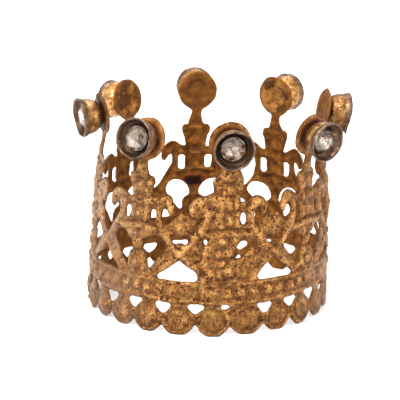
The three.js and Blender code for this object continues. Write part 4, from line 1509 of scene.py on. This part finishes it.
def photo_camera():
    """The camera that the photograph was taken with, rolled a little to one side."""
    azimuth, rise = math.radians(CAMERA_AZIMUTH), math.radians(CAMERA_ELEVATION)
    across = Vector((math.cos(azimuth), math.sin(azimuth), 0))
    level = math.cos(rise)
    away = Vector((math.sin(azimuth) * level, -math.cos(azimuth) * level, math.sin(rise)))
    centre = Vector(CAMERA_CENTRE) * MM + crown_shift()
    aim = centre + (across * CAMERA_SIDESTEP + Vector((0, 0, CAMERA_LIFT))) * MM
    place = centre + away * CAMERA_DISTANCE * MM
    view = (aim - place).normalized()
    right = view.cross(Vector((0, 0, 1))).normalized()
    over = right.cross(view)
    roll = math.radians(CAMERA_ROLL)
    rolled_right = right * math.cos(roll) + over * math.sin(roll)
    rolled_over = over * math.cos(roll) - right * math.sin(roll)
    turned = Matrix((rolled_right, rolled_over, -view)).transposed().to_4x4()
    lens = bpy.data.cameras.new("photo camera")
    lens.sensor_width = CAMERA_SENSOR
    lens.lens = CAMERA_LENS
    camera = bpy.data.objects.new("photo camera", lens)
    bpy.context.collection.objects.link(camera)
    camera.matrix_world = Matrix.Translation(place) @ turned
    return camera


def pale_floor():
    nothing_selected()
    bpy.ops.mesh.primitive_plane_add(size=FLOOR_SIDE, location=(0, 0, 0))
    floor = bpy.context.object
    floor.name = "floor"
    bpy.ops.object.transform_apply(location=True, rotation=True, scale=True)
    material, shading = new_material("pale floor")
    shading.surface(finishes().floor, 0.0, 0.8)
    floor.data.materials.append(material)
    return floor


def pale_room():
    """A white room all round, which lights the crown evenly."""
    world = bpy.data.worlds.new("pale room")
    world.use_nodes = True
    background = world.node_tree.nodes["Background"]
    background.inputs["Color"].default_value = (1, 1, 1, 1)
    background.inputs["Strength"].default_value = 1.0
    return world


class CROWN_OT_stage(bpy.types.Operator):
    """Makes the camera, the pale floor and the soft studio light."""
    bl_idname = "crown.stage"
    bl_label = "Camera, floor and light"

    def execute(self, context):
        context.scene.camera = photo_camera()
        pale_floor()
        context.scene.world = pale_room()
        for name, (side, power, place) in LIGHTS.items():
            soft_light(name, side, power, place)
        context.scene.view_settings.view_transform = "Standard"
        return {"FINISHED"}


class CROWN_PT_sidebar(bpy.types.Panel):
    """Lists the crown's makers, sizes and finishes."""
    bl_idname = "CROWN_PT_sidebar"
    bl_label = "Rhinestone crown"
    bl_space_type = "VIEW_3D"
    bl_region_type = "UI"
    bl_category = "Crown"

    def draw(self, context):
        for maker in MAKERS:
            self.layout.operator(maker.bl_idname)
        for group in (context.scene.crown_sizes, context.scene.crown_finish):
            box = self.layout.box()
            for name in group.__annotations__:
                box.prop(group, name)


MAKERS = (CROWN_OT_stage, CROWN_OT_band, CROWN_OT_cups, CROWN_OT_stones)
CLASSES = (CrownSizes, CrownFinish, *MAKERS, CROWN_PT_sidebar)


def register():
    for kind in CLASSES:
        bpy.utils.register_class(kind)
    bpy.types.Scene.crown_sizes = bpy.props.PointerProperty(type=CrownSizes)
    bpy.types.Scene.crown_finish = bpy.props.PointerProperty(type=CrownFinish)


def unregister():
    del bpy.types.Scene.crown_finish
    del bpy.types.Scene.crown_sizes
    for kind in reversed(CLASSES):
        bpy.utils.unregister_class(kind)


def main():
    register()
    bpy.ops.crown.stage()
    bpy.ops.crown.band()
    bpy.ops.crown.cups()
    bpy.ops.crown.stones()


if __name__ == "__main__":
    main()
